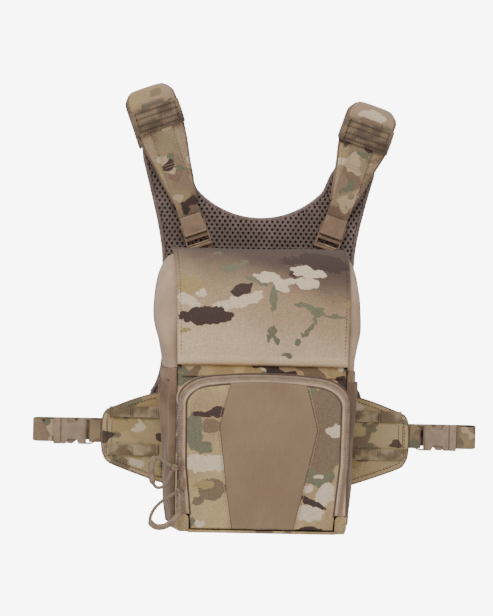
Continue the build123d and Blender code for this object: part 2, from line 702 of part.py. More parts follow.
def main():
    os.makedirs("parts", exist_ok=True)
    save(back_panel(), "back_panel")
    write_pairs("wing", wing())
    write_pairs("wing_rows", wing_rows())
    write_pairs("wing_strap", wing_strap())
    save(main_pouch(), "main_pouch")
    write_pairs("side_gusset", side_gusset())
    save(foam_panels(), "foam_panels")
    save(lid_shell(), "lid_shell")
    save(lid_lining(), "lid_lining")
    save(lid_magnets(), "lid_magnets")
    save(pouch_magnets(), "pouch_magnets")
    write_pairs("side_pocket", side_pocket())
    write_pairs("side_hem", side_hem())
    save(pocket_gusset(), "pocket_gusset")
    save(body_tape(), "zip_tape_body")
    save(flap_tape(), "zip_tape_flap")
    save(coil(-0.3 - COIL_WIDTH, -0.3), "zip_coil_body")
    save(coil(0.3, 0.3 + COIL_WIDTH), "zip_coil_flap")
    save(flap_panels(), "flap_panels")
    save(flap_centre(), "flap_centre")
    save(slider(SLIDER_UPPER_Z), "slider_upper")
    save(slider(SLIDER_LOWER_Z), "slider_lower")
    write_pulls()
    for side in ("left", "right"):
        turn = STRAP_TURN[side]
        save(in_strap_frame(shoulder_strap(turn), side), "shoulder_strap_" + side)
        save(in_strap_frame(shoulder_webbing(turn), side), "shoulder_webbing_" + side)
        save(in_strap_frame(keeper(turn), side), "strap_keeper_" + side)
        save(in_strap_frame(ladder_lock(), side), "ladder_lock_" + side)
        save(in_strap_frame(anchor_webbing(), side), "anchor_webbing_" + side)
        save(in_strap_frame(rear_webbing(), side), "rear_webbing_" + side)
    write_pairs("buckle_socket", buckle_socket())
    write_pairs("buckle_plug", buckle_plug())
    write_pairs("prong_upper", buckle_prong())
    write_pairs("prong_lower", mirror(buckle_prong(), about=Plane.XY.offset(BUCKLE_Z)))
    write_pairs("side_strap", side_strap())
    save(rear_yoke(), "rear_yoke")
    save(yoke_adjusters(), "yoke_adjusters")


main()
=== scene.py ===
import math

import bmesh
import bpy
import numpy as np
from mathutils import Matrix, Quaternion, Vector


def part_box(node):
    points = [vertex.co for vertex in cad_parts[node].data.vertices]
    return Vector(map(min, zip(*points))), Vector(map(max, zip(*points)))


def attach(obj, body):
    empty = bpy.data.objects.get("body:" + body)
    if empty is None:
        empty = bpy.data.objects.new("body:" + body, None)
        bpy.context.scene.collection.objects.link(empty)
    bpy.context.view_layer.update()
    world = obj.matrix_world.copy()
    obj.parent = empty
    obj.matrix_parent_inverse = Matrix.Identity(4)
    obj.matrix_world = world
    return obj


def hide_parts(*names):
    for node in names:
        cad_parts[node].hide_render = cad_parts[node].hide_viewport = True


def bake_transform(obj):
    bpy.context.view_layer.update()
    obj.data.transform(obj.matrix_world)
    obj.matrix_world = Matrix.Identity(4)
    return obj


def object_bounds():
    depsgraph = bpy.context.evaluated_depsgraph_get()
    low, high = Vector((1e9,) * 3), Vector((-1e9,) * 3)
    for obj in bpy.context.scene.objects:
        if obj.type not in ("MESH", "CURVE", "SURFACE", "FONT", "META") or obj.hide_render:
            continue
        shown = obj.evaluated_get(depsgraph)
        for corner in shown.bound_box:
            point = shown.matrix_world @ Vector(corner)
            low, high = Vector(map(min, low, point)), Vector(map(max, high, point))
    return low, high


# Binocular harness pack. Geometry is worked out in millimetres and scaled once, when a piece is made.
# +X is the viewer's right, the front faces -Y, +Z is up. Depth is the distance in front of Y = 0.

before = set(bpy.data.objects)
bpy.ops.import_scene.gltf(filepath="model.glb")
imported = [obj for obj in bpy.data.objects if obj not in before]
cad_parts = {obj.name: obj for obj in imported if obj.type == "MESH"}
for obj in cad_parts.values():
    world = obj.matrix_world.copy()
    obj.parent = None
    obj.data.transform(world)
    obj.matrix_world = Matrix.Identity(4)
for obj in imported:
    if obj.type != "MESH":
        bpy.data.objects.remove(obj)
CAD_LOW, CAD_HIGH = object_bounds()
MM = 0.001
SIDES = {"left": -1, "right": 1}
FRONTWARD = (0, -1, 0)
BACKWARD = (0, 1, 0)
UPWARD = (0, 0, 1)


def box_mm(node):
    low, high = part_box(node)
    return np.array(low) / MM, np.array(high) / MM


# ------------------------------------------------------------------ frame dimensions

LID_LOW, LID_HIGH = box_mm("lid_shell")
LID_HALF = LID_HIGH[0]
LID_CENTRE_DEPTH = -LID_HIGH[1]
LID_RADIUS = -LID_LOW[1] - LID_CENTRE_DEPTH
LID_CENTRE_Z = LID_HIGH[2] - LID_RADIUS
LID_FOOT_Z = LID_LOW[2]
LID_THICK = 4.0
POUCH_LOW, POUCH_HIGH = box_mm("main_pouch")
POUCH_HALF = POUCH_HIGH[0]
POUCH_FRONT = -POUCH_LOW[1]
POUCH_BACK = -POUCH_HIGH[1]
POUCH_RIM = LID_FOOT_Z - 3.3
POCKET_LOW, POCKET_HIGH = box_mm("pocket_gusset")
POCKET_HALF = POCKET_HIGH[0]
POCKET_TOP = POCKET_HIGH[2]
POCKET_FACE = -box_mm("zip_tape_flap")[1][1]
PANEL_FRONT = -box_mm("back_panel")[0][1]
WEB_WIDTH = 21.0
WEB_THICK = 1.5
STITCH_INSET = 3.4
FOOT_Z = LID_HIGH[2] + 1.0

# ------------------------------------------------------------------ shader helpers


def srgb(red, green, blue, vivid=1.28):
    """A colour given as 0 to 255 display values, a little more vivid, as the linear values of a shader."""
    grey = (red + green + blue) / 3

    def linear(value):
        value = min(max(grey + (value - grey) * vivid, 4), 251) / 255
        return value / 12.92 if value <= 0.04045 else ((value + 0.055) / 1.055) ** 2.4
    return (linear(red), linear(green), linear(blue), 1.0)


class Shader:
    """A material being built: short calls that each add one node and give back its output."""

    def __init__(self, name, roughness):
        self.material = bpy.data.materials.new(name)
        self.material.use_nodes = True
        self.tree = self.material.node_tree
        self.bsdf = self.tree.nodes["Principled BSDF"]
        self.bsdf.inputs["Roughness"].default_value = roughness
        self.bsdf.inputs["Specular IOR Level"].default_value = 0.3

    def add(self, kind, inputs=(), output=0, **settings):
        node = self.tree.nodes.new(kind)
        for key, value in settings.items():
            setattr(node, key, value)
        for key, value in dict(inputs).items():
            if isinstance(value, bpy.types.NodeSocket):
                self.tree.links.new(value, node.inputs[key])
            else:
                node.inputs[key].default_value = value
        return node.outputs[output]

    def math(self, operation, a, b=0.0, c=0.0):
        return self.add("ShaderNodeMath", {0: a, 1: b, 2: c}, operation=operation)

    def times(self, a, b):
        return self.math("MULTIPLY", a, b)

    def fused(self, a, b, c):
        """a times b, plus c."""
        return self.math("MULTIPLY_ADD", a, b, c)

    def moved(self, vector, by):
        return self.add("ShaderNodeVectorMath", {0: vector, 1: by}, operation="ADD")

    def wave(self, value, factor):
        """Sine of a value times a factor."""
        return self.math("SINE", self.times(value, factor))

    def shaded(self, colour, shade):
        """A colour made lighter or darker by a grey level."""
        grey = self.add("ShaderNodeCombineColor", {0: shade, 1: shade, 2: shade})
        return self.mix(1.0, colour, grey, "MULTIPLY")

    def mix(self, factor, a, b, blend="MIX"):
        return self.add("ShaderNodeMix", {0: factor, 6: a, 7: b}, 2, data_type="RGBA", blend_type=blend)

    def position(self, stretch=(1.0, 1.0, 1.0), shift=(0.0, 0.0, 0.0), attribute=None):
        """Object position in millimetres, or a mesh attribute already in millimetres."""
        if attribute:
            source = self.add("ShaderNodeAttribute", output=1, attribute_name=attribute)
            scale = stretch
        else:
            source = self.add("ShaderNodeTexCoord", output=3)
            scale = tuple(s / MM for s in stretch)
        scaled = self.add("ShaderNodeVectorMath", {0: source, 1: scale}, operation="MULTIPLY")
        return self.add("ShaderNodeVectorMath", {0: scaled, 1: shift}, operation="ADD")

    def noise(self, vector, size, detail=2.0, rough=0.5, distort=0.0):
        return self.add("ShaderNodeTexNoise", {"Vector": vector, "Scale": 1.0 / size, "Detail": detail,
                                               "Roughness": rough, "Distortion": distort})

    def step(self, value, low, high, out_low=0.0, out_high=1.0):
        return self.add("ShaderNodeMapRange", {0: value, 1: low, 2: high, 3: out_low, 4: out_high},
                        interpolation_type="SMOOTHSTEP")

    def split(self, vector):
        node = self.tree.nodes.new("ShaderNodeSeparateXYZ")
        self.tree.links.new(vector, node.inputs[0])
        return node.outputs

    def bump(self, height, distance, strength=1.0):
        return self.add("ShaderNodeBump", {"Height": height, "Distance": distance * MM, "Strength": strength})

    def finish(self, colour, normal=None, roughness=None, sheen=0.0):
        self.link_or_set("Base Color", colour)
        if normal is not None:
            self.tree.links.new(normal, self.bsdf.inputs["Normal"])
        if roughness is not None:
            self.link_or_set("Roughness", roughness)
        self.bsdf.inputs["Sheen Weight"].default_value = sheen
        self.bsdf.inputs["Sheen Roughness"].default_value = 0.5
        return self.material

    def link_or_set(self, name, value):
        if isinstance(value, bpy.types.NodeSocket):
            self.tree.links.new(value, self.bsdf.inputs[name])
        else:
            self.bsdf.inputs[name].default_value = value


def weave(shader, pitch, attribute=None):
    """Height of a plain weave: threads that pass over and under each other."""
    x, y, z = shader.split(shader.position(attribute=attribute))
    turn = 2 * math.pi / pitch
    across = shader.wave(shader.math("ADD", x, y), turn)
    along = shader.wave(z if attribute is None else y, turn)
    if attribute is not None:
        across = shader.wave(x, turn)
    return shader.times(across, along)


CAMO = {
    "tan": srgb(186, 164, 138),
    "brown": srgb(126, 105, 90),
    "olive": srgb(154, 135, 100),
    "green": srgb(110, 108, 90),
    "cream": srgb(204, 188, 166),
    "dark": srgb(68, 55, 51),
    "umber": srgb(118, 102, 86),
}


def blob_field(shader, x, z, blobs):
    """Nearness to a set of slanted ovals: under 1 inside any of them."""
    nearest = None
    for centre_x, centre_z, wide, high, slant in blobs:
        angle = math.radians(slant)
        dx = shader.math("SUBTRACT", x, centre_x)
        dz = shader.math("SUBTRACT", z, centre_z)
        u = shader.fused(dx, math.cos(angle) / wide, shader.times(dz, math.sin(angle) / wide))
        v = shader.fused(dz, math.cos(angle) / high, shader.times(dx, -math.sin(angle) / high))
        far = shader.math("ADD", shader.times(u, u), shader.times(v, v))
        nearest = far if nearest is None else shader.math("SMOOTH_MIN", nearest, far, 0.35)
    return nearest


def camo(name, shift, blobs=None, attribute=None, base=None, scatter=1.0, pitch=1.25, roughness=0.88):
    """Woven camouflage: soft base, then hard-edged patches, some of them listed one by one."""
    shader = Shader(name, roughness)
    flat = shader.position(shift=shift, attribute=attribute)
    wide = shader.position(stretch=(0.62, 0.62, 1.0), shift=shift, attribute=attribute)
    if base is None:
        soft = shader.step(shader.noise(flat, 70.0, 2.0), 0.38, 0.62)
        colour = shader.mix(soft, CAMO["tan"], CAMO["brown"])
    else:
        colour = base(shader)
    drift = shader.moved(flat, (31.0, 57.0, 11.0))
    patches = shader.step(shader.noise(drift, 38.0, 2.0), 0.56, 0.60, 0.0, 0.85 * scatter)
    colour = shader.mix(patches, colour, CAMO["olive"])
    layers = (("green", 23.0, 0.60, (71.0, 5.0, 43.0)), ("umber", 25.0, 0.60, (13.0, 90.0, 70.0)),
              ("cream", 21.0, 0.635, (47.0, 29.0, 97.0)), ("dark", 19.0, 0.645, (5.0, 61.0, 19.0)))
    placed = {}
    if blobs:
        source = shader.position(attribute=attribute)
        wobble = shader.add("ShaderNodeTexNoise", {"Vector": source, "Scale": 1 / 7.0, "Detail": 2.5}, 1)
        moved = shader.add("ShaderNodeVectorMath", {0: wobble, 1: (9.0, 9.0, 9.0), 2: source},
                           operation="MULTIPLY_ADD")
        x, y, z = shader.split(moved)
        x = shader.math("SUBTRACT", x, 4.5)
        up = shader.math("SUBTRACT", y if attribute else z, 4.5)
        placed = {tone: blob_field(shader, x, up, spots) for tone, spots in blobs.items()}
    for tone, size, limit, offset in layers:
        if scatter > 0:
            source = shader.moved(wide, offset)
            ragged = 3.5 if tone == "green" else 2.0
            field = shader.noise(source, size, ragged, 0.45)
            colour = shader.mix(shader.step(field, limit, limit + 0.012, 0.0, scatter), colour, CAMO[tone])
        if tone in placed:
            colour = shader.mix(shader.step(placed[tone], 1.06, 0.94), colour, CAMO[tone])
    if "olive" in placed:
        colour = shader.mix(shader.step(placed["olive"], 1.1, 0.9), colour, CAMO["olive"])
    threads = weave(shader, pitch, attribute)
    grain = shader.noise(flat, 1.3, 3.0, 0.75)
    shade = shader.fused(threads, 0.06, shader.fused(grain, 1.3, 0.33))
    colour = shader.shaded(colour, shade)
    height = shader.fused(threads, 0.5, grain)
    return shader.finish(colour, shader.bump(height, 0.22, 0.6), sheen=0.12)


def plain_fabric(name, tone, second, pitch=0.9, roughness=0.8, sheen=0.15, patch=24.0, relief=0.15):
    """Tan cloth with a fine weave and slow changes of shade."""
    shader = Shader(name, roughness)
    place = shader.position()
    soft = shader.step(shader.noise(place, patch, 3.0), 0.35, 0.65)
    threads = weave(shader, pitch)
    grain = shader.noise(place, 0.8, 3.0, 0.7)
    colour = shader.mix(soft, tone, second)
    shade = shader.fused(threads, 0.05, shader.fused(grain, 0.4, 0.8))
    colour = shader.shaded(colour, shade)
    height = shader.fused(threads, 0.6, grain)
    return shader.finish(colour, shader.bump(height, relief, 0.7), sheen=sheen)


def ribbed(name, shift, tone=None, second=None, slant=0.0, pitch=2.1):
    """Webbing: ribs across it with a fine thread along them. Camouflage unless a tone is given."""
    shader = Shader(name, 0.85)
    place = shader.position(shift=shift)
    x, _, z = shader.split(shader.position())
    angle = math.radians(slant)
    along = shader.fused(x, math.sin(angle), shader.times(z, math.cos(angle)))
    across = shader.fused(x, math.cos(angle), shader.times(z, -math.sin(angle)))
    ribs = shader.wave(along, 2 * math.pi / pitch)
    cords = shader.wave(across, 2 * math.pi / (pitch * 0.8))
    height = shader.math("ADD", shader.times(ribs, cords), shader.noise(place, 0.9, 2.0))
    if tone is None:
        soft = shader.step(shader.noise(place, 30.0, 2.0), 0.40, 0.60)
        colour = shader.mix(soft, srgb(134, 115, 98), srgb(150, 132, 106))
        for tint, size, limit, offset in (("brown", 24.0, 0.55, 3.0), ("tan", 20.0, 0.60, 41.0),
                                          ("green", 19.0, 0.61, 77.0), ("dark", 21.0, 0.61, 113.0)):
            source = shader.moved(place, (offset, offset, offset))
            patches = shader.step(shader.noise(source, size, 2.0), limit, limit + 0.03)
            colour = shader.mix(patches, colour, CAMO[tint])
    else:
        colour = shader.mix(shader.step(shader.noise(place, 18.0, 3.0), 0.4, 0.6), tone, second)
    shade = shader.fused(height, 0.17, 0.82)
    colour = shader.shaded(colour, shade)
    return shader.finish(colour, shader.bump(height, 0.3, 0.8), sheen=0.1)


def moulded(name, tone, second, roughness=0.42, grain_size=0.5, relief=0.02):
    """Moulded plastic: even colour, a fine spark finish and paler worn patches."""
    shader = Shader(name, roughness)
    place = shader.position()
    soft = shader.step(shader.noise(place, 7.0, 3.0), 0.35, 0.7)
    fine = shader.noise(place, grain_size, 2.0)
    gloss = shader.step(shader.noise(place, 3.0, 3.0), 0.3, 0.7, roughness - 0.06, roughness + 0.08)
    return shader.finish(shader.mix(soft, tone, second), shader.bump(fine, relief, 0.8), roughness=gloss)


MATERIALS = {}


def tones(first, second):
    return srgb(*first), srgb(*second)


def lid_tone_and_shade(shader):
    """The lid's tan cloth with painted shade: grey brown along the top and right, where the lid curves back
    from the light, to light tan at its lower left.
    """
    x, _, z = shader.split(shader.position())
    drift = shader.noise(shader.position(), 40.0, 2.0)
    height = shader.fused(drift, 22.0, shader.fused(x, 0.22, z))
    # Painted shade: the top and right are darkened towards grey brown, where the lid curves back away from
    # the light, over the cloth's own tan.
    upper = shader.step(height, 92.0, 138.0)
    lower = shader.mix(shader.step(height, 40.0, 96.0), srgb(202, 181, 154), srgb(158, 137, 114))
    return shader.mix(upper, lower, srgb(84, 71, 64))


LID_BLOBS = {
    "cream": ((3, 107, 12, 5, 0), (17, 99, 9, 6, -35), (29, 103, 12, 3, 0), (41, 101, 11, 6, 0),
              (43, 112, 17, 5, -8), (-25, 83, 24, 5.5, 14), (-9, 89, 9, 3, 25), (-39, 79, 9, 4, 0),
              (-71, 83, 12, 5, -20),
              (-59, 91, 5, 4, 0), (71, 118, 4.6, 2, 0)),
    "dark": ((-21, 95, 10.5, 5.5, 20), (-54, 69, 27, 8.5, 0), (27, 122, 10, 3.6, 0), (59, 121, 25, 8, -10),
             (28, 109, 4, 2, 0)),
    "olive": ((-69, 98, 13, 9, 0), (81, 81, 4, 4, 0), (-73, 55, 5, 2.6, 0)),
    "green": ((-26, 116, 14, 3, 20), (-33, 113, 8, 3, 0), (-42, 128, 5, 1.6, 0), (-6, 103, 12, 2.5, -15),
              (9, 86, 3.2, 12, 0), (13, 96, 5, 4, 0), (39, 80, 10, 2.8, -12), (51, 74, 6, 5, 0),
              (65, 71, 13, 2, -10), (48, 67, 2.5, 5, 0), (41, 57, 3, 8, -40), (32, 46, 3.5, 3, 0),
              (8, 56, 3.5, 5, 0),
              (11, 48, 2.5, 5, 35), (5, 49, 2, 4, -30), (22, 33, 5.5, 2, 0)),
}
FLAP_BLOBS = {
    "umber": ((57, -36, 24, 40, 0), (-48, -93, 13, 10, 0), (-60, -104, 6, 4, 30), (-49, -34, 9, 7, 0)),
    "green": ((-66, -38, 8, 17, 0), (-57, -53.5, 10, 6, 0), (53, -17, 10, 12, 0), (72, -21, 9, 4, 15),
              (45, -2, 5, 7, 0), (51.5, -45, 5, 5, 0), (53, -79, 15, 9.5, 0), (-66, -124, 4, 5, 0)),
    "cream": ((-60, -69, 12, 9, 0), (-46, -68, 13, 8, -6), (-58, -126.5, 5, 4, 0), (68, -36.6, 9, 6, 0),
              (52.6, -80, 4, 2.5, 0), (59, -96, 8, 12, -20), (42, -91, 6, 3.5, 0), (45, -114, 13, 8, 0)),
    "dark": ((-53.5, -22.7, 13, 3.3, 4), (-42, -20, 8, 5, 0), (47, -104, 14, 3.6, -25),
             (44, -130, 12, 3.5, 0)),
    "olive": ((-55, -89, 10, 4, 0),),
}


def khaki_base(shader):
    soft = shader.step(shader.noise(shader.position(), 45.0, 2.0), 0.38, 0.62)
    return shader.mix(soft, srgb(178, 158, 122), srgb(160, 138, 110))


def braid(name, tone, second, pitch):
    """Braided cord: two diagonal sets of strands."""
    shader = Shader(name, 0.75)
    x, y, z = shader.split(shader.position())
    turn = 2 * math.pi / pitch
    one = shader.wave(shader.math("ADD", shader.math("ADD", x, z), y), turn)
    two = shader.wave(shader.math("SUBTRACT", shader.math("SUBTRACT", x, z), y), turn)
    height = shader.times(one, two)
    colour = shader.mix(shader.step(height, -0.8, 0.8), tone, second)
    return shader.finish(colour, shader.bump(height, 0.25, 0.9), sheen=0.1)


FABRICS = (
    ("cheek", "stretch_cheek", (182, 159, 139), (166, 143, 124), {"roughness": 0.85}),
    ("side", "stretch_side", (127, 107, 90), (104, 86, 72), {"roughness": 0.88}),
    ("centre", "stretch_centre", (136, 117, 97), (128, 109, 90), {"patch": 60.0}),
    ("binding", "binding", (124, 106, 90), (106, 89, 76), {"pitch": 1.4, "relief": 0.25}),
    ("piping", "piping", (92, 77, 67), (76, 62, 54), {"pitch": 1.2, "relief": 0.2}),
    ("tape", "zip_tape", (190, 167, 145), (176, 154, 133), {"pitch": 0.8, "patch": 12.0}),
    ("thread", "thread_tan", (178, 155, 132), (160, 138, 116), {"pitch": 0.5, "relief": 0.05}),
    ("thread_dark", "thread_dark", (74, 60, 52), (58, 47, 41), {"pitch": 0.5, "relief": 0.05}),
    ("knit", "spacer_knit", (122, 107, 102), (102, 88, 83), {"pitch": 0.7, "relief": 0.2}),
    ("core", "spacer_core", (62, 52, 48), (44, 37, 34), {"pitch": 1.1, "relief": 0.3}),
    ("lining", "lining", (128, 108, 92), (112, 94, 80), {"sheen": 0.4, "patch": 9.0}),
    ("foam", "foam", (72, 66, 62), (54, 50, 48), {"pitch": 0.6, "sheen": 0.0, "patch": 4.0}),
)
MOULDINGS = (
    ("coil", "zip_coil", (164, 144, 128), (142, 122, 107), {"roughness": 0.4}),
    ("buckle", "buckle_plastic", (150, 133, 117), (137, 120, 104), {}),
    ("lock", "lock_plastic", (130, 110, 94), (118, 99, 84), {"roughness": 0.38}),
    ("slider", "slider_paint", (132, 112, 96), (104, 88, 76), {"roughness": 0.32, "relief": 0.01}),
    ("grip", "pull_grip", (140, 122, 106), (116, 99, 86), {"roughness": 0.55, "relief": 0.06}),
    ("magnet", "magnet_nickel", (190, 190, 188), (160, 160, 160), {"roughness": 0.22}),
)


def make_materials():
    made = MATERIALS
    made["lid"] = camo("camo_lid", (3.0, 0.0, 0.0), LID_BLOBS, base=lid_tone_and_shade, scatter=0.0)
    made["flap"] = camo("camo_flap", (9.0, 0.0, 31.0), FLAP_BLOBS, base=khaki_base, scatter=0.0)
    made["body"] = camo("camo_body", (150.0, 40.0, 77.0), base=khaki_base)
    made["wing"] = camo("camo_wing", (410.0, 20.0, 190.0), base=lambda _: srgb(172, 153, 122), scatter=0.9)
    made["strap"] = camo("camo_strap", (260.0, 90.0, 33.0), base=lambda _: srgb(152, 132, 111), scatter=0.8)
    made["webbing"] = ribbed("webbing_camo", (20.0, 60.0, 10.0))
    made["row"] = ribbed("webbing_row", (90.0, 10.0, 40.0), *tones((178, 159, 134), (126, 109, 90)))
    made["hem"] = ribbed("hem_elastic", (5.0, 5.0, 5.0), *tones((160, 137, 118), (142, 119, 101)), pitch=1.6)
    made["keeper"] = ribbed("keeper_webbing", (44.0, 8.0, 91.0), *tones((132, 115, 96), (96, 83, 71)))
    made["cord"] = braid("pull_cord", *tones((120, 104, 89), (162, 144, 126)), 1.3)
    for maker, table in ((plain_fabric, FABRICS), (moulded, MOULDINGS)):
        for key, name, first, second, settings in table:
            made[key] = maker(name, *tones(first, second), **settings)
    made["magnet"].node_tree.nodes["Principled BSDF"].inputs["Metallic"].default_value = 1.0


# ------------------------------------------------------------------ mesh helpers, in millimetres


def join(parts):
    """Several (vertices, faces) pairs as one."""
    vertices, faces = [], []
    for some, more in parts:
        start = len(vertices)
        vertices.extend(some)
        faces.extend([tuple(start + i for i in face) for face in more])
    return vertices, faces


def piece(name, shape, material, body, replaces=(), smooth=True):
    """A finished object from vertices in millimetres."""
    vertices, faces = shape
    mesh = bpy.data.meshes.new(name)
    mesh.from_pydata([tuple(np.asarray(v, float) * MM) for v in vertices], [], faces)
    work = bmesh.new()
    work.from_mesh(mesh)
    bmesh.ops.recalc_face_normals(work, faces=work.faces)
    work.to_mesh(mesh)
    work.free()
    mesh.polygons.foreach_set("use_smooth", [smooth] * len(mesh.polygons))
    mesh.materials.append(MATERIALS[material])
    made = bpy.data.objects.new(name, mesh)
    bpy.context.scene.collection.objects.link(made)
    if body:
        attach(made, body)
    if replaces:
        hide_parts(*replaces)
    return made


def at(x, depth, z):
    """A point from X, depth and Z."""
    return np.array((x, -depth, z), float)


def stack(x, depth, z):
    """A grid of points from three arrays."""
    x, depth, z = np.broadcast_arrays(np.asarray(x, float), depth, z)
    return np.stack([x, -depth, z], axis=-1)


def loft(loops, wrap=False):
    """Closed loops of equal count joined in order, capped at both ends or wrapped round."""
    count = len(loops[0])
    vertices = [point for loop in loops for point in loop]
    faces = []
    rows = len(loops) if wrap else len(loops) - 1
    for row in range(rows):
        below = row * count
        above = ((row + 1) % len(loops)) * count
        for i in range(count):
            j = (i + 1) % count
            faces.append((below + i, below + j, above + j, above + i))
    if not wrap:
        faces.append(tuple(range(count)))
        faces.append(tuple(range(len(vertices) - count, len(vertices))))
    return vertices, faces


def grid_normals(grid):
    along = np.gradient(grid, axis=1)
    down = np.gradient(grid, axis=0)
    normal = np.cross(along, down)
    return normal / np.maximum(np.linalg.norm(normal, axis=-1, keepdims=True), 1e-9)


def thick(grid, thickness, flip=False, rim=0.35):
    """A grid of points as a closed sheet: the grid is its outer face, with a rounded edge."""
    rows, columns = grid.shape[:2]
    normal = grid_normals(grid) * (-1 if flip else 1)
    inner = grid - normal * thickness
    size = rows * columns
    border = [(0, c) for c in range(columns)] + [(r, columns - 1) for r in range(1, rows)]
    border += [(rows - 1, c) for c in range(columns - 2, -1, -1)] + [(r, 0) for r in range(rows - 2, 0, -1)]
    vertices = list(grid.reshape(-1, 3)) + list(inner.reshape(-1, 3))
    faces = []
    for r in range(rows - 1):
        for c in range(columns - 1):
            a = r * columns + c
            quad = (a, a + 1, a + columns + 1, a + columns)
            faces.append(quad)
            faces.append(tuple(size + i for i in reversed(quad)))
    middle = []
    for r, c in border:
        neighbour = grid[min(max(r, 1), rows - 2), min(max(c, 1), columns - 2)]
        away = grid[r, c] - neighbour
        away = away / max(np.linalg.norm(away), 1e-9)
        middle.append(len(vertices))
        vertices.append(grid[r, c] - normal[r, c] * thickness / 2 + away * thickness * rim)
    for i in range(len(border)):
        j = (i + 1) % len(border)
        a, b = (border[k][0] * columns + border[k][1] for k in (i, j))
        faces.append((a, b, middle[j], middle[i]))
        faces.append((size + a, middle[i], middle[j], size + b))
    return vertices, faces


def ripples(a, b, size, seed, stretch=1.0, count=14):
    """Smooth uneven height over two coordinates, about -1 to 1, the same on every run."""
    rng = np.random.default_rng(seed)
    total = 0.0
    for _ in range(count):
        angle = rng.uniform(0, math.pi)
        length = size * rng.uniform(0.7, 1.6)
        phase = rng.uniform(0, 2 * math.pi)
        along = a * math.cos(angle) / stretch + b * math.sin(angle)
        total = total + np.cos(2 * math.pi * along / length + phase)
    return total / math.sqrt(count * 2)


def smooth_step(value, low, high):
    t = np.clip((np.asarray(value, float) - low) / (high - low), 0, 1)
    return t * t * (3 - 2 * t)


def rounded(path, passes=3, closed=False):
    """A path of points with its corners cut round."""
    path = np.array(path, float)
    for _ in range(passes):
        after = np.roll(path, -1, axis=0)
        near = path * 0.75 + after * 0.25
        far = path * 0.25 + after * 0.75
        cut = np.empty((2 * len(path), path.shape[1]))
        cut[0::2] = near
        cut[1::2] = far
        path = cut if closed else np.vstack([path[:1], cut[:-2], path[-1:]])
    return path


def resample(path, spacing, closed=False):
    """Points at an even distance along a path."""
    path = np.array(path, float)
    if closed:
        path = np.vstack([path, path[:1]])
    steps = np.linalg.norm(np.diff(path, axis=0), axis=1)
    run = np.concatenate([[0], np.cumsum(steps)])
    count = max(2, int(round(run[-1] / spacing)) + 1)
    marks = np.linspace(0, run[-1], count)
    if closed:
        marks = marks[:-1]
    return np.stack([np.interp(marks, run, path[:, k]) for k in range(path.shape[1])], axis=1)


def tangents(path, closed=False):
    if closed:
        way = np.roll(path, -1, axis=0) - np.roll(path, 1, axis=0)
    else:
        way = np.gradient(path, axis=0)
    return way / np.maximum(np.linalg.norm(way, axis=1, keepdims=True), 1e-9)


def tube(path, radius, sides=8, closed=False, ends=True):
    """A round tube along points, with rounded ends. The radius is one number or one for each point."""
    path = np.array(path, float)
    radii = np.broadcast_to(np.asarray(radius, float), (len(path),)).copy()
    way = tangents(path, closed)
    if ends and not closed:
        first = path[0] - way[0] * radii[0] * 0.5
        last = path[-1] + way[-1] * radii[-1] * 0.5
        path = np.vstack([first, path, last])
        way = np.vstack([way[:1], way, way[-1:]])
        radii = np.concatenate([[radii[0] * 0.6], radii, [radii[-1] * 0.6]])
    side = Vector(way[0]).orthogonal().normalized()
    loops = []
    for i, point in enumerate(path):
        if i:
            turn = Vector(way[i - 1]).rotation_difference(Vector(way[i]))
            side = turn @ side
        other = Vector(way[i]).cross(side)
        ring = []
        for k in range(sides):
            angle = 2 * math.pi * k / sides
            out = np.array(side) * math.cos(angle) + np.array(other) * math.sin(angle)
            ring.append(point + radii[i] * out)
        loops.append(ring)
    return loft(loops, wrap=closed)


def band(path, side, half, thickness, square=0.18, count=20, crown=0.0):
    """A strap along a path: flat or padded, with rounded edges. Half is one number or one for each point."""
    path = np.array(path, float)
    side = np.asarray(side, float)
    halves = np.broadcast_to(np.asarray(half, float), (len(path),))
    normal = np.cross(tangents(path), side)
    normal /= np.linalg.norm(normal, axis=1, keepdims=True)
    loops = []
    for i, point in enumerate(path):
        ring = []
        for k in range(count):
            angle = 2 * math.pi * (k + 0.5) / count
            c, s = math.cos(angle), math.sin(angle)
            across = math.copysign(abs(c) ** square, c)
            out = math.copysign(abs(s) ** square, s) * (1 + crown * (1 - across * across))
            ring.append(point + side * across * halves[i] + normal[i] * out * thickness / 2)
        loops.append(ring)
    return loft(loops)


def stitches(path, normal, pitch=3.0, length=2.1, radius=0.32, closed=False):
    """A row of stitches: short threads that rise out of the cloth and go back in."""
    path = resample(path, pitch / 3, closed)
    parts = []
    normal = np.asarray(normal, float)
    way = tangents(path, closed)
    for i in range(1, len(path) - 3, 3):
        up = normal if normal.ndim == 1 else normal[min(i, len(normal) - 1)]
        start = path[i]
        end = start + way[i] * length
        points = [start - up * radius, start * 0.75 + end * 0.25 + up * radius * 0.7,
                  start * 0.25 + end * 0.75 + up * radius * 0.7, end - up * radius]
        parts.append(tube(points, radius, sides=5, ends=False))
    return join(parts)


def offset(points, distance):
    """A closed outline moved inward, its points given counterclockwise."""
    points = np.array(points, float)
    before = points - np.roll(points, 1, axis=0)
    after = np.roll(points, -1, axis=0) - points
    before /= np.linalg.norm(before, axis=1, keepdims=True)
    after /= np.linalg.norm(after, axis=1, keepdims=True)
    inward_a = np.stack([-before[:, 1], before[:, 0]], axis=1)
    inward_b = np.stack([-after[:, 1], after[:, 0]], axis=1)
    bisector = inward_a + inward_b
    bisector /= np.maximum(np.sum(bisector * inward_a, axis=1, keepdims=True), 0.3)
    return points + bisector * distance


def counterclockwise(points):
    points = np.array(points, float)
    area = np.sum(points[:, 0] * np.roll(points[:, 1], -1) - np.roll(points[:, 0], -1) * points[:, 1])
    return points if area > 0 else points[::-1]


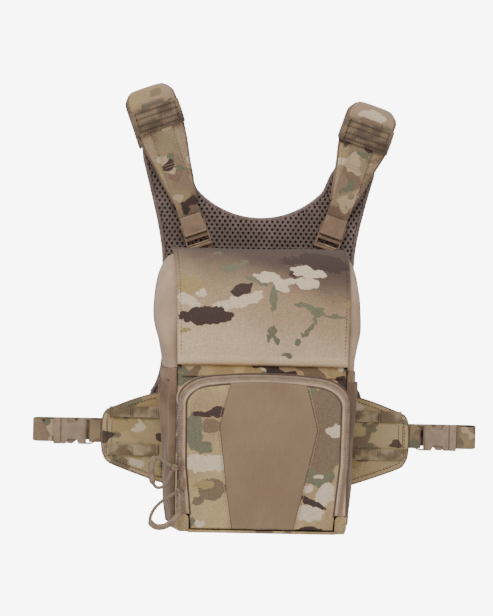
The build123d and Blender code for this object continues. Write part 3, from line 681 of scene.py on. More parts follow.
def pillow(points, near, far, edge, crown=0.0, reach=0.0, steps=4):
    """A plate or pad from a front outline: its edge rounded, its faces raised towards the middle."""
    points = counterclockwise(points)
    middle, half = (near + far) / 2, (far - near) / 2
    profile = []
    for k in range(-steps, steps + 1):
        angle = math.radians(90) * k / steps
        profile.append((edge * (1 - math.cos(angle)), half * math.sin(angle)))
    if crown:
        rings = [(edge + reach * t, half + crown * (1 - (1 - t) ** 2)) for t in (0.25, 0.5, 0.75, 1.0)]
        profile = [(i, -h) for i, h in reversed(rings)] + profile + rings
    loops = []
    for inset, height in profile:
        loops.append([at(x, middle + height, z) for x, z in offset(points, inset)])
    return loft(loops)


def placed(points, depth):
    """Front-view points at one depth."""
    return np.array([at(x, depth, z) for x, z in points])


# ------------------------------------------------------------------ camera, light and floor

VIEW_AZIMUTH = -4.4
VIEW_ELEVATION = 0.4
VIEW_ROLL = 1.2
VIEW_TARGET = Vector((-0.0100, 0.0, 0.0765))
VIEW_LENS = 500.0
VIEW_DISTANCE = 8.128
WORLD_LIGHT = 0.55
WORLD_SEEN = 8.0


def direction(azimuth, elevation):
    a, e = math.radians(azimuth), math.radians(elevation)
    return Vector((math.sin(a) * math.cos(e), -math.cos(a) * math.cos(e), math.sin(e)))


def make_camera():
    data = bpy.data.cameras.new("camera")
    data.lens = VIEW_LENS
    data.sensor_width = 36.0
    camera = bpy.data.objects.new("camera", data)
    bpy.context.scene.collection.objects.link(camera)
    back = direction(VIEW_AZIMUTH, VIEW_ELEVATION)
    camera.location = VIEW_TARGET + back * VIEW_DISTANCE
    camera.rotation_mode = "QUATERNION"
    roll = Quaternion((0, 0, 1), math.radians(VIEW_ROLL))
    camera.rotation_quaternion = back.to_track_quat("Z", "Y") @ roll
    bpy.context.scene.camera = camera


def make_light(name, azimuth, elevation, distance, size, power):
    data = bpy.data.lights.new(name, "AREA")
    data.shape = "DISK"
    data.size = size
    data.energy = power
    lamp = bpy.data.objects.new(name, data)
    bpy.context.scene.collection.objects.link(lamp)
    way = direction(azimuth, elevation)
    lamp.location = Vector((0, -0.05, 0.05)) + way * distance
    lamp.rotation_mode = "QUATERNION"
    lamp.rotation_quaternion = way.to_track_quat("Z", "Y")


def make_world():
    """Even white surroundings: full strength where they are looked at, and dimmer as light on the pack."""
    world = bpy.data.worlds.new("studio")
    world.use_nodes = True
    tree = world.node_tree
    background = tree.nodes["Background"]
    background.inputs["Color"].default_value = (1.0, 1.0, 1.0, 1.0)
    rays = tree.nodes.new("ShaderNodeLightPath")
    strength = tree.nodes.new("ShaderNodeMapRange")
    strength.inputs["To Min"].default_value = WORLD_LIGHT
    strength.inputs["To Max"].default_value = WORLD_SEEN
    tree.links.new(rays.outputs["Is Camera Ray"], strength.inputs["Value"])
    tree.links.new(strength.outputs["Result"], background.inputs["Strength"])
    bpy.context.scene.world = world


def make_stage():
    """A pale floor below the pack, which is shown as worn, and soft light from all round."""
    shader = Shader("floor_paint", 0.9)
    place = shader.position()
    cloudy = shader.step(shader.noise(place, 300.0, 3.0), 0.3, 0.7)
    tone = shader.mix(cloudy, srgb(250, 250, 250), srgb(246, 246, 246))
    paint = shader.finish(tone, shader.bump(shader.noise(place, 2.0, 3.0), 0.05))
    mesh = bpy.data.meshes.new("floor")
    low = CAD_LOW[2] - 0.30
    turns = np.linspace(0, 2 * math.pi, 96, endpoint=False)
    ring = [(1.15 * math.cos(a), 1.15 * math.sin(a), low) for a in turns]
    mesh.from_pydata(ring, [], [tuple(range(96))])
    mesh.materials.append(paint)
    floor = bpy.data.objects.new("floor", mesh)
    bpy.context.scene.collection.objects.link(floor)
    make_world()
    make_light("key", -28, 48, 1.8, 1.3, 26.0)
    make_light("fill", 50, 25, 2.2, 1.6, 10.0)
    make_light("rear", 180, 35, 2.2, 1.6, 16.0)


# ------------------------------------------------------------------ zip pulls and their cords

PULL_DEPTH = 0.1185
CORD_D = 0.0032
GRIP_R = 3.0
UPPER_ROUTE = ((-0.0870, -0.0720), (-0.0926, -0.0688), (-0.0992, -0.0630), (-0.1052, -0.0670),
               (-0.1056, -0.0775), (-0.1040, -0.0880), (-0.0995, -0.0932), (-0.0925, -0.0910),
               (-0.0886, -0.0830), (-0.0864, -0.0764))
LOWER_ROUTE = ((-0.0835, -0.0975), (-0.0915, -0.1025), (-0.0990, -0.1085), (-0.1045, -0.1165),
               (-0.1060, -0.1245), (-0.1005, -0.1295), (-0.0920, -0.1290), (-0.0840, -0.1240),
               (-0.0775, -0.1155), (-0.0790, -0.1060), (-0.0808, -0.1006))


def route_curve(name, route, bevel):
    data = bpy.data.curves.new(name, "CURVE")
    data.dimensions = "3D"
    data.resolution_u = 12
    data.bevel_depth = bevel
    data.bevel_resolution = 3
    data.use_fill_caps = True
    spline = data.splines.new("NURBS")
    spline.points.add(len(route) - 1)
    for point, (x, z) in zip(spline.points, route):
        point.co = (x, -PULL_DEPTH, z, 1.0)
    spline.order_u = 3
    spline.use_endpoint_u = True
    made = bpy.data.objects.new(name, data)
    bpy.context.scene.collection.objects.link(made)
    return made


def route_points(route):
    """Points along the smooth line of a route, in millimetres."""
    guide = route_curve("guide", route, 0.0)
    depsgraph = bpy.context.evaluated_depsgraph_get()
    mesh = bpy.data.meshes.new_from_object(guide.evaluated_get(depsgraph))
    points = np.array([vertex.co for vertex in mesh.vertices]) / MM
    bpy.data.meshes.remove(mesh)
    bpy.data.objects.remove(guide)
    return points


def grip_mesh(points, first, last):
    """Rubber sleeve over a stretch of the cord, with a few moulded rings."""
    path = resample(points, 0.5)
    run = path[int(first * len(path)):int(last * len(path))]
    along = np.arange(len(run)) * 0.5
    radii = GRIP_R - 0.16 * (np.cos(2 * math.pi * along / 2.4) > 0.55)
    radii[:2] = GRIP_R * 0.82
    radii[-2:] = GRIP_R * 0.82
    return tube(run, radii, sides=18)


def knot_mesh(node):
    """A tight overhand knot where the cord's two ends meet."""
    low, high = box_mm(node)
    centre = (low + high) / 2
    turns = np.linspace(0, 2 * math.pi, 60, endpoint=False)
    ring = 1.7 + 0.78 * np.cos(3 * turns)
    line = np.stack([ring * np.cos(2 * turns), 0.95 * np.sin(3 * turns), ring * np.sin(2 * turns)], axis=1)
    return tube(centre + line, 1.05, sides=10, closed=True)


def make_pull(which, route, first, last):
    body = "pull_" + which
    points = route_points(route)
    sleeve = grip_mesh(points, first, last)
    grip = piece("grip_" + which, sleeve, "grip", body, ["pull_grip_" + which])
    tied = knot_mesh("pull_knot_" + which)
    knot = piece("knot_" + which, tied, "cord", body, ["pull_knot_" + which])
    line = route_curve("cord_" + which, route, CORD_D / 2)
    line.data.materials.append(MATERIALS["cord"])
    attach(line, body)
    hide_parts("pull_cord_" + which)


# ------------------------------------------------------------------ lid

LID_ARC = LID_RADIUS * math.pi / 2
LID_RUN = LID_ARC + LID_CENTRE_Z - LID_FOOT_Z


def lid_point(s, radius):
    """Depth and Z at a distance down the lid's curve, from its back edge to its foot."""
    angle = np.clip(s / LID_RADIUS, 0, math.pi / 2)
    depth = LID_CENTRE_DEPTH + radius * np.sin(angle)
    z = LID_CENTRE_Z + radius * np.cos(angle) - np.maximum(s - LID_ARC, 0)
    return depth, z


def lid_half(s):
    return LID_HALF - 3.0 * s / LID_RUN


def lid_grid(radius, margin, columns=90, rows=84, soft=True):
    """The lid's curved face. The soft face has folded side strips, a rolled foot and shallow creases."""
    u = np.linspace(-1, 1, columns)[None, :]
    s = np.linspace(0, LID_RUN, rows)[:, None]
    x = u * (lid_half(s) - margin)
    lift = np.zeros_like(x)
    if soft:
        away = lid_half(s) - np.abs(x)
        lift = -2.4 * (1 - np.sqrt(np.clip(1 - (1 - np.clip(away / 3.5, 0, 1)) ** 2, 0, 1)))
        lift = lift + 0.55 * (1 - smooth_step(away, 6.4, 7.6))
        lift = lift + 0.55 * ripples(x, s, 62, 3, stretch=1.4) * smooth_step(away, 2, 18)
        foot = LID_RUN - s
        dent = 1.2 * np.exp(-((x + 1) / 5) ** 2) * (1 - smooth_step(foot, 0, 9))
        lift = lift + 0.9 * (1 - smooth_step(foot, 5.0, 8.5)) - dent
        lift = lift - 0.8 * (1 - smooth_step(foot, 0, 2.0))
    depth, z = lid_point(s, radius + lift)
    return stack(x, depth, z)


def on_lid(x_of_s, start, end, lift, count=160):
    """A line down the lid, at an X that depends on the distance."""
    s = np.linspace(start, end, count)
    depth, z = lid_point(s, LID_RADIUS + lift)
    return stack(x_of_s(s), depth, z)


def lid_outward(count, start=0.0, end=None):
    s = np.linspace(start, LID_RUN if end is None else end, count)
    angle = np.clip(s / LID_RADIUS, 0, math.pi / 2)
    return stack(0 * s, np.sin(angle), np.cos(angle))


def make_lid():
    grid = lid_grid(LID_RADIUS, 0.0)
    piece("lid", thick(grid, LID_THICK - 0.6, flip=True), "lid", "lid", ["lid_shell"])
    inner = lid_grid(LID_RADIUS - LID_THICK - 0.1, 6.0, 40, 40, soft=False)
    piece("lid_inside", thick(inner[:-1], 1.6, flip=True), "lining", "lid", ["lid_lining"])
    lines = []
    for sign in (-1, 1):
        path = on_lid(lambda s: sign * (lid_half(s) - STITCH_INSET), 3, LID_RUN - 3, 0.35)
        path = resample(path, 1.0)
        lines.append(stitches(path, lid_outward(len(path), 3, LID_RUN - 3), pitch=3.4, length=2.3))
    piece("lid_stitches", join(lines), "thread_dark", "lid")
    strip_x = np.linspace(-76, 76, 60)[None, :]
    strip_z = np.linspace(LID_FOOT_Z - 11.0, LID_FOOT_Z + 0.6, 24)[:, None]
    depth = POUCH_FRONT + 0.25 + 0.25 * (ripples(strip_x, strip_z, 30, 12) + 1)
    strip = thick(stack(strip_x, depth, strip_z), 0.9, flip=True)
    fold = piece("lid_hinge_fold", strip, "body", None)
    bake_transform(fold)
    for node in ("lid_magnets", "pouch_magnets"):
        paint(node, "magnet")


def paint(node, material):
    """Gives a CAD node a finish."""
    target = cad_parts[node]
    target.data.materials.clear()
    target.data.materials.append(MATERIALS[material])


# ------------------------------------------------------------------ main pouch, cheeks and side pockets

CHEEK_SWELL = {"left": 99.5, "right": 92.0}
CHEEK_INNER = 80.3
CHEEK_R = 64.5


def cheek_grid(side, rows=56, columns=56):
    """Stretch wall beside the lid: full in the middle, drawn in round its seam."""
    sign = SIDES[side]
    near = POUCH_BACK + 1.2
    far = LID_CENTRE_DEPTH + CHEEK_R - 0.4
    a = np.linspace(0, 1, columns)[None, :]
    b = np.linspace(0, 1, rows)[:, None]
    depth = near + (far - near) * (0.5 - 0.5 * np.cos(math.pi * a))
    top = LID_CENTRE_Z + np.sqrt(np.clip(CHEEK_R ** 2 - (depth - LID_CENTRE_DEPTH) ** 2, 0, None))
    foot = 19.8
    z = foot + (top - foot) * b
    across = np.sqrt(np.clip(1 - np.abs(2 * a - 1) ** 2.6, 0, 1))
    upward = np.sqrt(np.clip(1 - np.clip((b - 0.35) / 0.65, 0, 1) ** 3.2, 0, 1))
    upward = upward * (0.39 + 0.61 * smooth_step(b, -0.1, 0.6))
    swell = CHEEK_SWELL[side] - CHEEK_INNER
    x = CHEEK_INNER + swell * across * upward
    x = x + 0.7 * ripples(depth, z, 34, 21 + sign) * across * upward
    gathers = np.cos(depth / 2.1 + 0.6 * ripples(depth, z, 20, 5))
    x = x + 0.8 * gathers * (1 - smooth_step(b, 0.0, 0.16)) * across
    return stack(sign * x, depth, z)


def make_cheeks():
    for side, sign in SIDES.items():
        grid = cheek_grid(side)
        shape = thick(grid, 2.2, flip=sign < 0)
        piece("cheek_" + side, shape, "cheek", "root", ["side_gusset_" + side])
        seam = np.vstack([grid[:, -1], grid[-1, ::-1]])
        path = resample(seam, 2.0)
        piece("cheek_binding_" + side, tube(path, 1.3, sides=10), "binding", "root")


def round_box(half, near, far, corner, count=12):
    """Plan of a box with round corners, as X and depth."""
    points = []
    corners = ((half - corner, far - corner, 0), (corner - half, far - corner, 90),
               (corner - half, near + corner, 180), (half - corner, near + corner, 270))
    for centre_x, centre_d, start in corners:
        for k in range(count + 1):
            angle = math.radians(start + 90 * k / count)
            points.append((centre_x + corner * math.cos(angle), centre_d + corner * math.sin(angle)))
    return resample(np.array(points), 4.0, closed=True)


def loop_at(plan, z):
    return [at(x, d, z) for x, d in plan]


def make_pouch():
    wall = 2.5
    outer = round_box(POUCH_HALF, POUCH_BACK, POUCH_FRONT, 5.0)
    middle = np.array((0.0, (POUCH_BACK + POUCH_FRONT) / 2))
    inner = middle + (outer - middle) * np.array([(POUCH_HALF - wall) / POUCH_HALF, 0.93])
    small = middle + (outer - middle) * 0.97
    floor = POUCH_LOW[2]
    rim = POUCH_RIM
    heights = np.linspace(floor + 2.5, rim - 1.0, 40)
    loops = [loop_at(small, floor), loop_at(middle + (outer - middle) * 0.99, floor + 0.8)]
    loops += [loop_at(outer, z) for z in heights]
    loops += [loop_at((outer + inner) / 2, rim)]
    loops += [loop_at(inner, z) for z in heights[::-1][:-1]]
    loops += [loop_at(middle + (inner - middle) * 0.97, floor + wall)]
    piece("pouch", loft(loops), "body", "root", ["main_pouch"])
    x = np.linspace(-76, 76, 60)[None, :]
    z = np.linspace(rim - 2.0, POUCH_HIGH[2], 44)[:, None]
    depth = POUCH_BACK + 2.3 + 0.15 * ripples(x, z, 40, 9)
    piece("pouch_back", thick(stack(x, depth, z), 2.0, flip=True), "lining", "root")
    top_line = [(x, POUCH_HIGH[2]) for x in np.linspace(-76, 76, 60)]
    top = tube(placed(top_line, POUCH_BACK + 1.3), 1.5, sides=10)
    rim_path = [at(x, d, rim) for x, d in (outer + inner) / 2]
    rim_tube = tube(rim_path, 1.6, sides=10, closed=True)
    piece("rim_binding", join([top, rim_tube]), "binding", "root")
    paint("foam_panels", "foam")


SIDE_FOOT = -127.0
SIDE_MOUTH = 8.0
HEM_TOP = 19.0
SIDE_BOW = {"left": 94.0, "right": 90.5}


def side_plan(bulge, near, far, inner, count=70):
    """Plan of a side pocket: a bow outward and a flat side against the pouch."""
    t = np.linspace(0, math.pi, count)
    depth = (near + far) / 2 - (far - near) / 2 * np.cos(t)
    x = inner + (bulge - inner) * np.sin(t) ** 0.8
    back = np.linspace(far, near, 24)[1:-1]
    return np.vstack([np.stack([x, depth], 1), np.stack([np.full_like(back, inner), back], 1)])


def side_loop(side, z, shrink, gather, seed):
    """One loop of the pocket: it narrows to its foot, with upright folds below the gathered mouth."""
    sign = SIDES[side]
    rise = (z - SIDE_FOOT) / (SIDE_MOUTH - SIDE_FOOT)
    bulge = 85.5 + (SIDE_BOW[side] - 85.5) * min(max(rise, 0), 1) ** 0.7 - shrink
    plan = side_plan(bulge, 15.0 + shrink, 81.0 - shrink, POUCH_HALF + 0.2)
    run = plan[:, 1]
    out = smooth_step(plan[:, 0], POUCH_HALF + 1.0, POUCH_HALF + 4.0)
    folds = np.cos(run / 2.1 + 1.6 * ripples(run, z, 50, seed)) * 1.9
    soft = ripples(run, z, 48, seed + 3) * 0.9
    plan[:, 0] += out * (folds * gather + soft)
    return [at(sign * x, d, z) for x, d in plan]


def make_side_pockets():
    for side, sign in SIDES.items():
        seed = 40 + sign
        heights = np.linspace(SIDE_FOOT + 2, SIDE_MOUTH + 1.5, 46)
        gathers = smooth_step(heights, -70, SIDE_MOUTH) * 0.9 + 0.25
        outer = [side_loop(side, z, 0.0, g, seed) for z, g in zip(heights, gathers)]
        inner = [side_loop(side, z, 2.0, g * 0.85, seed) for z, g in zip(heights, gathers)]
        foot = [side_loop(side, SIDE_FOOT, 2.5, 0.1, seed)]
        inner_foot = [side_loop(side, SIDE_FOOT + 2.6, 4.0, 0.1, seed)]
        shell = loft(foot + outer + inner[::-1][:-1] + inner_foot)
        piece("side_pocket_skin_" + side, shell, "side", "root", ["side_pocket_" + side])
        rings = []
        for k in range(14):
            angle = 2 * math.pi * k / 14
            up = math.copysign(abs(math.sin(angle)) ** 0.4, math.sin(angle))
            z = (SIDE_MOUTH + HEM_TOP) / 2 + 0.4 + (HEM_TOP - SIDE_MOUTH) / 2 * up
            out = 0.9 * math.copysign(abs(math.cos(angle)) ** 0.4, math.cos(angle))
            plan = side_plan(SIDE_BOW[side] - 1.2 + out, 15.4 - out, 80.6 + out, POUCH_HALF + 1.4 - out)
            wave = np.cos(plan[:, 1] / 0.95) * 0.28 * smooth_step(plan[:, 0], POUCH_HALF + 2, POUCH_HALF + 5)
            plan[:, 0] += wave
            rings.append([at(sign * x, d, z) for x, d in plan])
        hem = loft(rings, wrap=True)
        piece("side_hem_band_" + side, hem, "hem", "root", ["side_hem_" + side])


# ------------------------------------------------------------------ zipped pocket

CROWN_DROP = 7.0
CORNER = 17.0
CORNER_SPREAD = 1.55
FOOT_CLEAR = 1.0
FLAP_FOOT = box_mm("flap_panels")[0][2]
TAPE_END = box_mm("zip_tape_flap")[0][2]
TEETH_DEPTH = POCKET_FACE + 2.0


def zip_half(z):
    """Half width to the zip's centre line: nearly upright, then drawn in towards the foot."""
    return np.interp(z, (-140.0, -116.0, -69.0, -15.0, 20.0), (70.4, 72.8, 77.6, 78.3, 78.5))


def pocket_half(z):
    return np.interp(z, (POCKET_LOW[2], 9.0), (POCKET_HALF - 2.4, POCKET_HALF - 1.4))


def arch_top(x, half, crown, corner):
    """Height of the pocket's arched top edge at an X."""
    fall = CROWN_DROP * (x / half) ** 2
    wide = corner * CORNER_SPREAD
    into = np.clip(np.abs(x) - (half - wide), 0, wide) / wide
    return crown - fall - corner * (1 - np.sqrt(1 - into ** 2))


def arch(half_at, crown, corner, foot, inset, sides=60, top=90):
    """An upside-down U, from the left foot over the arch to the right foot."""
    corner = corner - inset * 0.6
    crown = crown - inset
    shoulder = crown - CROWN_DROP - corner
    half = half_at(np.array([shoulder]))[0] - inset
    up = np.linspace(foot, shoulder, sides)
    over = np.sin(np.linspace(-math.pi / 2, math.pi / 2, top)) * half
    left = np.stack([-(half_at(up) - inset), up], 1)
    middle = np.stack([over, arch_top(over, half, crown, corner)], 1)
    right = np.stack([half_at(up) - inset, up], 1)[::-1]
    return np.vstack([left[:-1], middle, right[1:]])


def zip_arch(inset, foot):
    return arch(zip_half, POCKET_TOP - 3.5, CORNER, foot, inset)


def between(first, second, depth, columns=6):
    """A grid from one front-view line to another of the same count."""
    rows = [first * (1 - t) + second * t for t in np.linspace(0, 1, columns)]
    return np.array([placed(row, depth) for row in rows])


def centre_half(z, sign):
    """Half width of the stretch panel on one side: an hourglass turned out."""
    if sign < 0:
        return np.interp(z, (-140, -129, -91, -58, -34, 8, 30), (27, 28, 34, 38, 41, 31, 29))
    return np.interp(z, (-140, -130, -36, 4, 30), (28, 29, 50, 40, 37))


def flap_grid(inner, outer, rows, columns, lift, level):
    """The flap between two half widths, from its foot to the arched top."""
    u = np.linspace(0, 1, columns)[None, :]
    v = np.linspace(0, 1, rows)[:, None]
    foot = FLAP_FOOT + FOOT_CLEAR
    z = foot + v * 135.0
    half = 73.6
    for _ in range(6):
        x = inner(z) + (outer(z) - inner(z)) * u
        top = arch_top(np.clip(x, -half, half), half, POCKET_TOP - 8.9, 13.8)
        z = foot + v * (top - foot)
    return stack(x, level + lift(x, z), z)


def flap_lift(x, z):
    """How far the filled pocket stands out: most in the middle, with shallow creases."""
    away = np.minimum(zip_half(z) - 9 - np.abs(x), np.minimum(z - FLAP_FOOT, 5.5 - z))
    full = smooth_step(away, -2, 34)
    return 3.2 * full + 0.5 * ripples(x, z, 46, 17) * full


def centre_lift(x, z):
    """The stretch panel lies a little lower, with long slanting creases."""
    half = np.where(x < 0, centre_half(z, -1), centre_half(z, 1))
    inside = np.clip(1 - (x / half) ** 2, 0, 1)
    slant = ripples(x + 0.35 * z, z * 0.35, 30, 31, stretch=1.0) * 1.5
    upright = ripples(x, z, 18, 37, stretch=0.35) * 0.35
    return flap_lift(x, z) - 0.9 + (slant + upright) * inside + 0.8 * inside


def panel_half(z):
    """Half width of the flap's cloth, inside the zip tape."""
    return zip_half(z) - 5.4


def make_flap():
    level = POCKET_FACE + 2.6
    for side, sign in SIDES.items():
        grid = flap_grid(lambda z: sign * centre_half(z, sign), lambda z: sign * panel_half(z), 110, 30,
                         flap_lift, level)
        nodes = ["flap_panels"] if side == "left" else []
        shape = thick(grid, 2.4, flip=sign < 0)
        piece("flap_panel_" + side, shape, "flap", "pocket_flap", nodes)
        edge = grid[:, 0] + np.array((0, -0.25, 0))
        seam = resample(edge, 1.5)
        piece("centre_seam_" + side, tube(seam, 0.65, sides=8), "piping", "pocket_flap")
        beside = grid[:, 2] + np.array((0, -0.1, 0))
        sewn = stitches(resample(beside, 1.0), FRONTWARD, pitch=3.4, length=2.4, radius=0.3)
        piece("centre_stitches_" + side, sewn, "thread", "pocket_flap")
    grid = flap_grid(lambda z: -centre_half(z, -1), lambda z: centre_half(z, 1), 90, 60, centre_lift, level)
    middle = thick(grid, 1.8, flip=True)
    piece("flap_middle", middle, "centre", "pocket_flap", ["flap_centre"])
    edge_line = zip_arch(5.4, TAPE_END - 1.0)
    piping = tube(resample(placed(edge_line, level - 0.6), 2.0), 1.05, sides=10)
    piece("flap_piping", piping, "piping", "pocket_flap")
    fold_x = np.linspace(-69, 69, 70)[None, :]
    turn = np.linspace(0, 1, 14)[:, None]
    fold_depth = POCKET_FACE + 0.6 + 2.6 * np.cos(math.pi * turn)
    fold_z = FLAP_FOOT - 1.0 - 1.6 * np.sin(math.pi * turn)
    fold = thick(stack(fold_x, fold_depth, fold_z), 0.9, flip=False)
    strip = piece("flap_foot_fold", fold, "body", None)
    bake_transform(strip)


def make_pocket_wall():
    """The wall round the zipped pocket, with its piped front edge and soft corners at the foot."""
    near, far = box_mm("pocket_gusset")[1][1] * -1, POCKET_FACE
    line = arch(pocket_half, POCKET_TOP, CORNER, POCKET_LOW[2] + 4.0, 0.0)
    foot_x = np.linspace(POCKET_HALF - 4.0, 4.0 - POCKET_HALF, 60)
    foot = np.stack([foot_x, POCKET_LOW[2] + 0.35 * ripples(foot_x, 0 * foot_x, 40, 8)], 1)
    line = resample(np.vstack([line, foot]), 2.5, closed=True)
    line = counterclockwise(line)
    loops = []
    for depth, inset in ((near, 0.3), (near + 1, 0.0), ((near + far) / 2, 0.5), (far - 1.2, 0.0), (far, 0.8),
                         (far, 2.0), (far - 1.2, 2.4), ((near + far) / 2, 2.9), (near + 1, 2.4), (near, 2.0)):
        loops.append([at(x, depth, z) for x, z in offset(line, inset - 0.4)])
    piece("pocket_wall", loft(loops, wrap=True), "body", "root", ["pocket_gusset"])
    corners = []
    for sign in (-1, 1):
        patch = ((68.9, TAPE_END - 0.2), (80.0, TAPE_END - 0.2), (79.6, -128), (77, -133), (68.4, -133),
                 (68.3, -127.5))
        points = [(sign * x, z) for x, z in patch]
        points = rounded(points, 2, closed=True)
        corners.append(pillow(points, far - 1.5, far + 2.3, 1.2, crown=0.5, reach=1.5))
    piece("pocket_corners", join(corners), "body", "root")
    edge = placed(arch(pocket_half, POCKET_TOP, CORNER, TAPE_END, 0.4), far + 1.3)
    piece("pocket_piping", tube(resample(edge, 2.0), 1.1, sides=10), "piping", "root")


def make_zip():
    outer = arch(pocket_half, POCKET_TOP, CORNER, TAPE_END, 0.6)
    near_zip = zip_arch(0.4, TAPE_END)
    piece("tape_body", thick(between(outer, near_zip, POCKET_FACE + 1.1), 0.9), "tape", "root",
          ["zip_tape_body"])
    tape = between(zip_arch(0.8, TAPE_END), zip_arch(7.5, TAPE_END), POCKET_FACE + 1.35, 10)
    piece("tape_flap", thick(tape, 0.9), "tape", "pocket_flap", ["zip_tape_flap"])
    for name, shift, body in (("body", -1.15, "root"), ("flap", 1.15, "pocket_flap")):
        line = resample(placed(zip_arch(shift, TAPE_END), TEETH_DEPTH), 1.45)
        way = tangents(line)
        across = np.cross(way, FRONTWARD) * (1 if name == "body" else -1)
        teeth = []
        for i in range(len(line)):
            lean = way[i] * (0.36 if name == "body" else -0.36)
            path = [line[i] + across[i] * 1.15, line[i] + across[i] * 0.4 + np.array((0, -0.55, 0)),
                    line[i] - across[i] * 0.9 + np.array((0, -0.35, 0)) + lean,
                    line[i] - across[i] * 1.15 + lean]
            teeth.append(tube(path, 0.44, sides=6))
        piece("teeth_" + name, join(teeth), "coil", body, ["zip_coil_" + name])


def make_sliders():
    for which in ("upper", "lower"):
        low, high = box_mm("slider_" + which)
        middle = (low + high) / 2
        half_x, half_z = 4.0, 6.5
        near = -high[1]
        shield = []
        for k in range(40):
            angle = 2 * math.pi * k / 40
            c, s = math.cos(angle), math.sin(angle)
            x = half_x * math.copysign(abs(c) ** 0.6, c) * (1.0 - 0.16 * s)
            shield.append((middle[0] + x, middle[2] + half_z * math.copysign(abs(s) ** 0.7, s)))
        plate = pillow(shield, near + 0.1, near + 2.0, 0.7, crown=0.3, reach=1.6)
        arch_path = [at(middle[0], near + 1.6, middle[2] - 4.6), at(middle[0], near + 3.4, middle[2] - 3.8),
                     at(middle[0], near + 3.9, middle[2]), at(middle[0], near + 3.4, middle[2] + 3.8),
                     at(middle[0], near + 1.6, middle[2] + 4.6)]
        bridge = band(rounded(arch_path, 2), (1, 0, 0), 1.3, 0.9, square=0.4, count=14)
        piece("slider_body_" + which, join([plate, bridge]), "slider", "zip_" + which,
              ["slider_" + which])


# ------------------------------------------------------------------ shoulder straps

STRAP_FOOT = {"left": (-56.3, -19.7), "right": (63.5, 18.4)}
STRAP_TURN = {"left": 142.0, "right": 127.0}
STRAP_BEND = (-1.35, 13.65)
STRAP_MIDDLE = 12.3
STRAP_HALF = 23.0
STRAP_TIP = 45.0
TIP_HALF = 11.5
TAPER_DROP = 24.0
WEB_FRONT = 17.2
LOCK_DEPTH = 11.7
LOCK_HALF = 12.0


def strap_frame(side):
    """A function from (across, depth, up the strap) to a point, and the strap's width direction."""
    x, lean = STRAP_FOOT[side]
    c, s = math.cos(math.radians(lean)), math.sin(math.radians(lean))

    def place(t, depth, up):
        return at(x + t * c + up * s, depth, FOOT_Z + up * c - t * s)

    return place, np.array((c, 0.0, -s))


def over_shoulder(turn, level, low, end, spacing=2.5):
    """Depth and height up the strap of a line that climbs in front and comes down behind."""
    depth, radius = STRAP_BEND
    radius = radius + level - STRAP_MIDDLE
    angles = np.linspace(0, math.pi, 28)
    arc = np.stack([depth + radius * np.cos(angles), turn + radius * np.sin(angles)], 1)
    line = np.vstack([[(depth + radius, low)], arc, [(depth - radius, end)]])
    return resample(line, spacing)


def strap_half(up, turn):
    """Half width of the strap: full below the shoulder, round-cornered over it, narrow at the tip."""
    return np.interp(up, (STRAP_TIP, turn - TAPER_DROP, 200.0), (TIP_HALF, STRAP_HALF, STRAP_HALF))


def make_strap(side):
    place, across = strap_frame(side)
    turn_up = STRAP_TURN[side]
    line = over_shoulder(turn_up, STRAP_MIDDLE, STRAP_TIP + 1.0, 106.0)
    front = line[:, 0] > STRAP_BEND[0]
    half = np.where(front, strap_half(line[:, 1], turn_up), STRAP_HALF) - 1.2
    half = half - 4.5 * smooth_step(line[:, 1], turn_up + 3, turn_up + 15) ** 2
    half = half + 0.35 * ripples(line[:, 1], line[:, 0], 30, 4)
    pad = band([place(0, d, s) for d, s in line], across, half, 7.0, square=0.42, count=40, crown=0.12)
    made = piece("strap_pad_" + side, pad, "strap", "root", ["shoulder_strap_" + side])
    edges, rows = [], []
    for sign in (-1, 1):
        rim = [place(sign * (h + 0.3), d, s) for (d, s), h in zip(line, half)]
        edges.append(tube(rim, 1.5, sides=12))
        top = [place(sign * (h - STITCH_INSET), d + 3.55, s)
               for (d, s), h, f in zip(line, half, front) if s < turn_up and f]
        rows.append(stitches(top, FRONTWARD, pitch=3.3, length=2.3, radius=0.3))
    piece("strap_binding_" + side, join(edges), "binding", "root")
    web_half = WEB_WIDTH / 2
    turn = [(WEB_FRONT, turn_up + 3.0), (WEB_FRONT, 70.0), (WEB_FRONT, 47.0), (9.2, 27.5), (8.9, 12.6),
            (12.6, 11.9)]
    path = resample(rounded(turn, 2), 1.5)
    web = band([place(0, d, s) for d, s in path], across, web_half, WEB_THICK, count=24)
    piece("strap_webbing_" + side, web, "webbing", "root", ["shoulder_webbing_" + side])
    for sign in (-1, 1):
        lay = [place(sign * (web_half - 1.8), WEB_FRONT + 0.8, s) for s in np.linspace(turn_up - 26, 80, 50)]
        rows.append(stitches(lay, FRONTWARD, pitch=3.3, length=2.3, radius=0.28))
    for row in (80.5, 83.0):
        lay = [place(t, WEB_FRONT + 0.8, row) for t in np.linspace(2 - web_half, web_half - 2, 20)]
        rows.append(stitches(lay, FRONTWARD, pitch=1.7, length=1.3, radius=0.28))
    piece("strap_stitches_" + side, join(rows), "thread", "root")
    make_keeper(side, place)
    make_lock(side, place, across)
    anchor = [(8.9, -34.0), (8.9, -10.0), (8.9, 2.6), (12.6, 3.4)]
    path = resample(rounded(anchor, 2), 1.5)
    web = band([place(0, d, s) for d, s in path], across, web_half, WEB_THICK, count=24)
    piece("anchor_web_" + side, web, "webbing", "root", ["anchor_webbing_" + side])
    back = [place(0, -20.0 + 0.25 * math.sin(s / 13), s) for s in np.linspace(118, -72, 90)]
    web = band(back, across, web_half, WEB_THICK, count=24)
    piece("rear_web_" + side, web, "webbing", "root", ["rear_webbing_" + side])


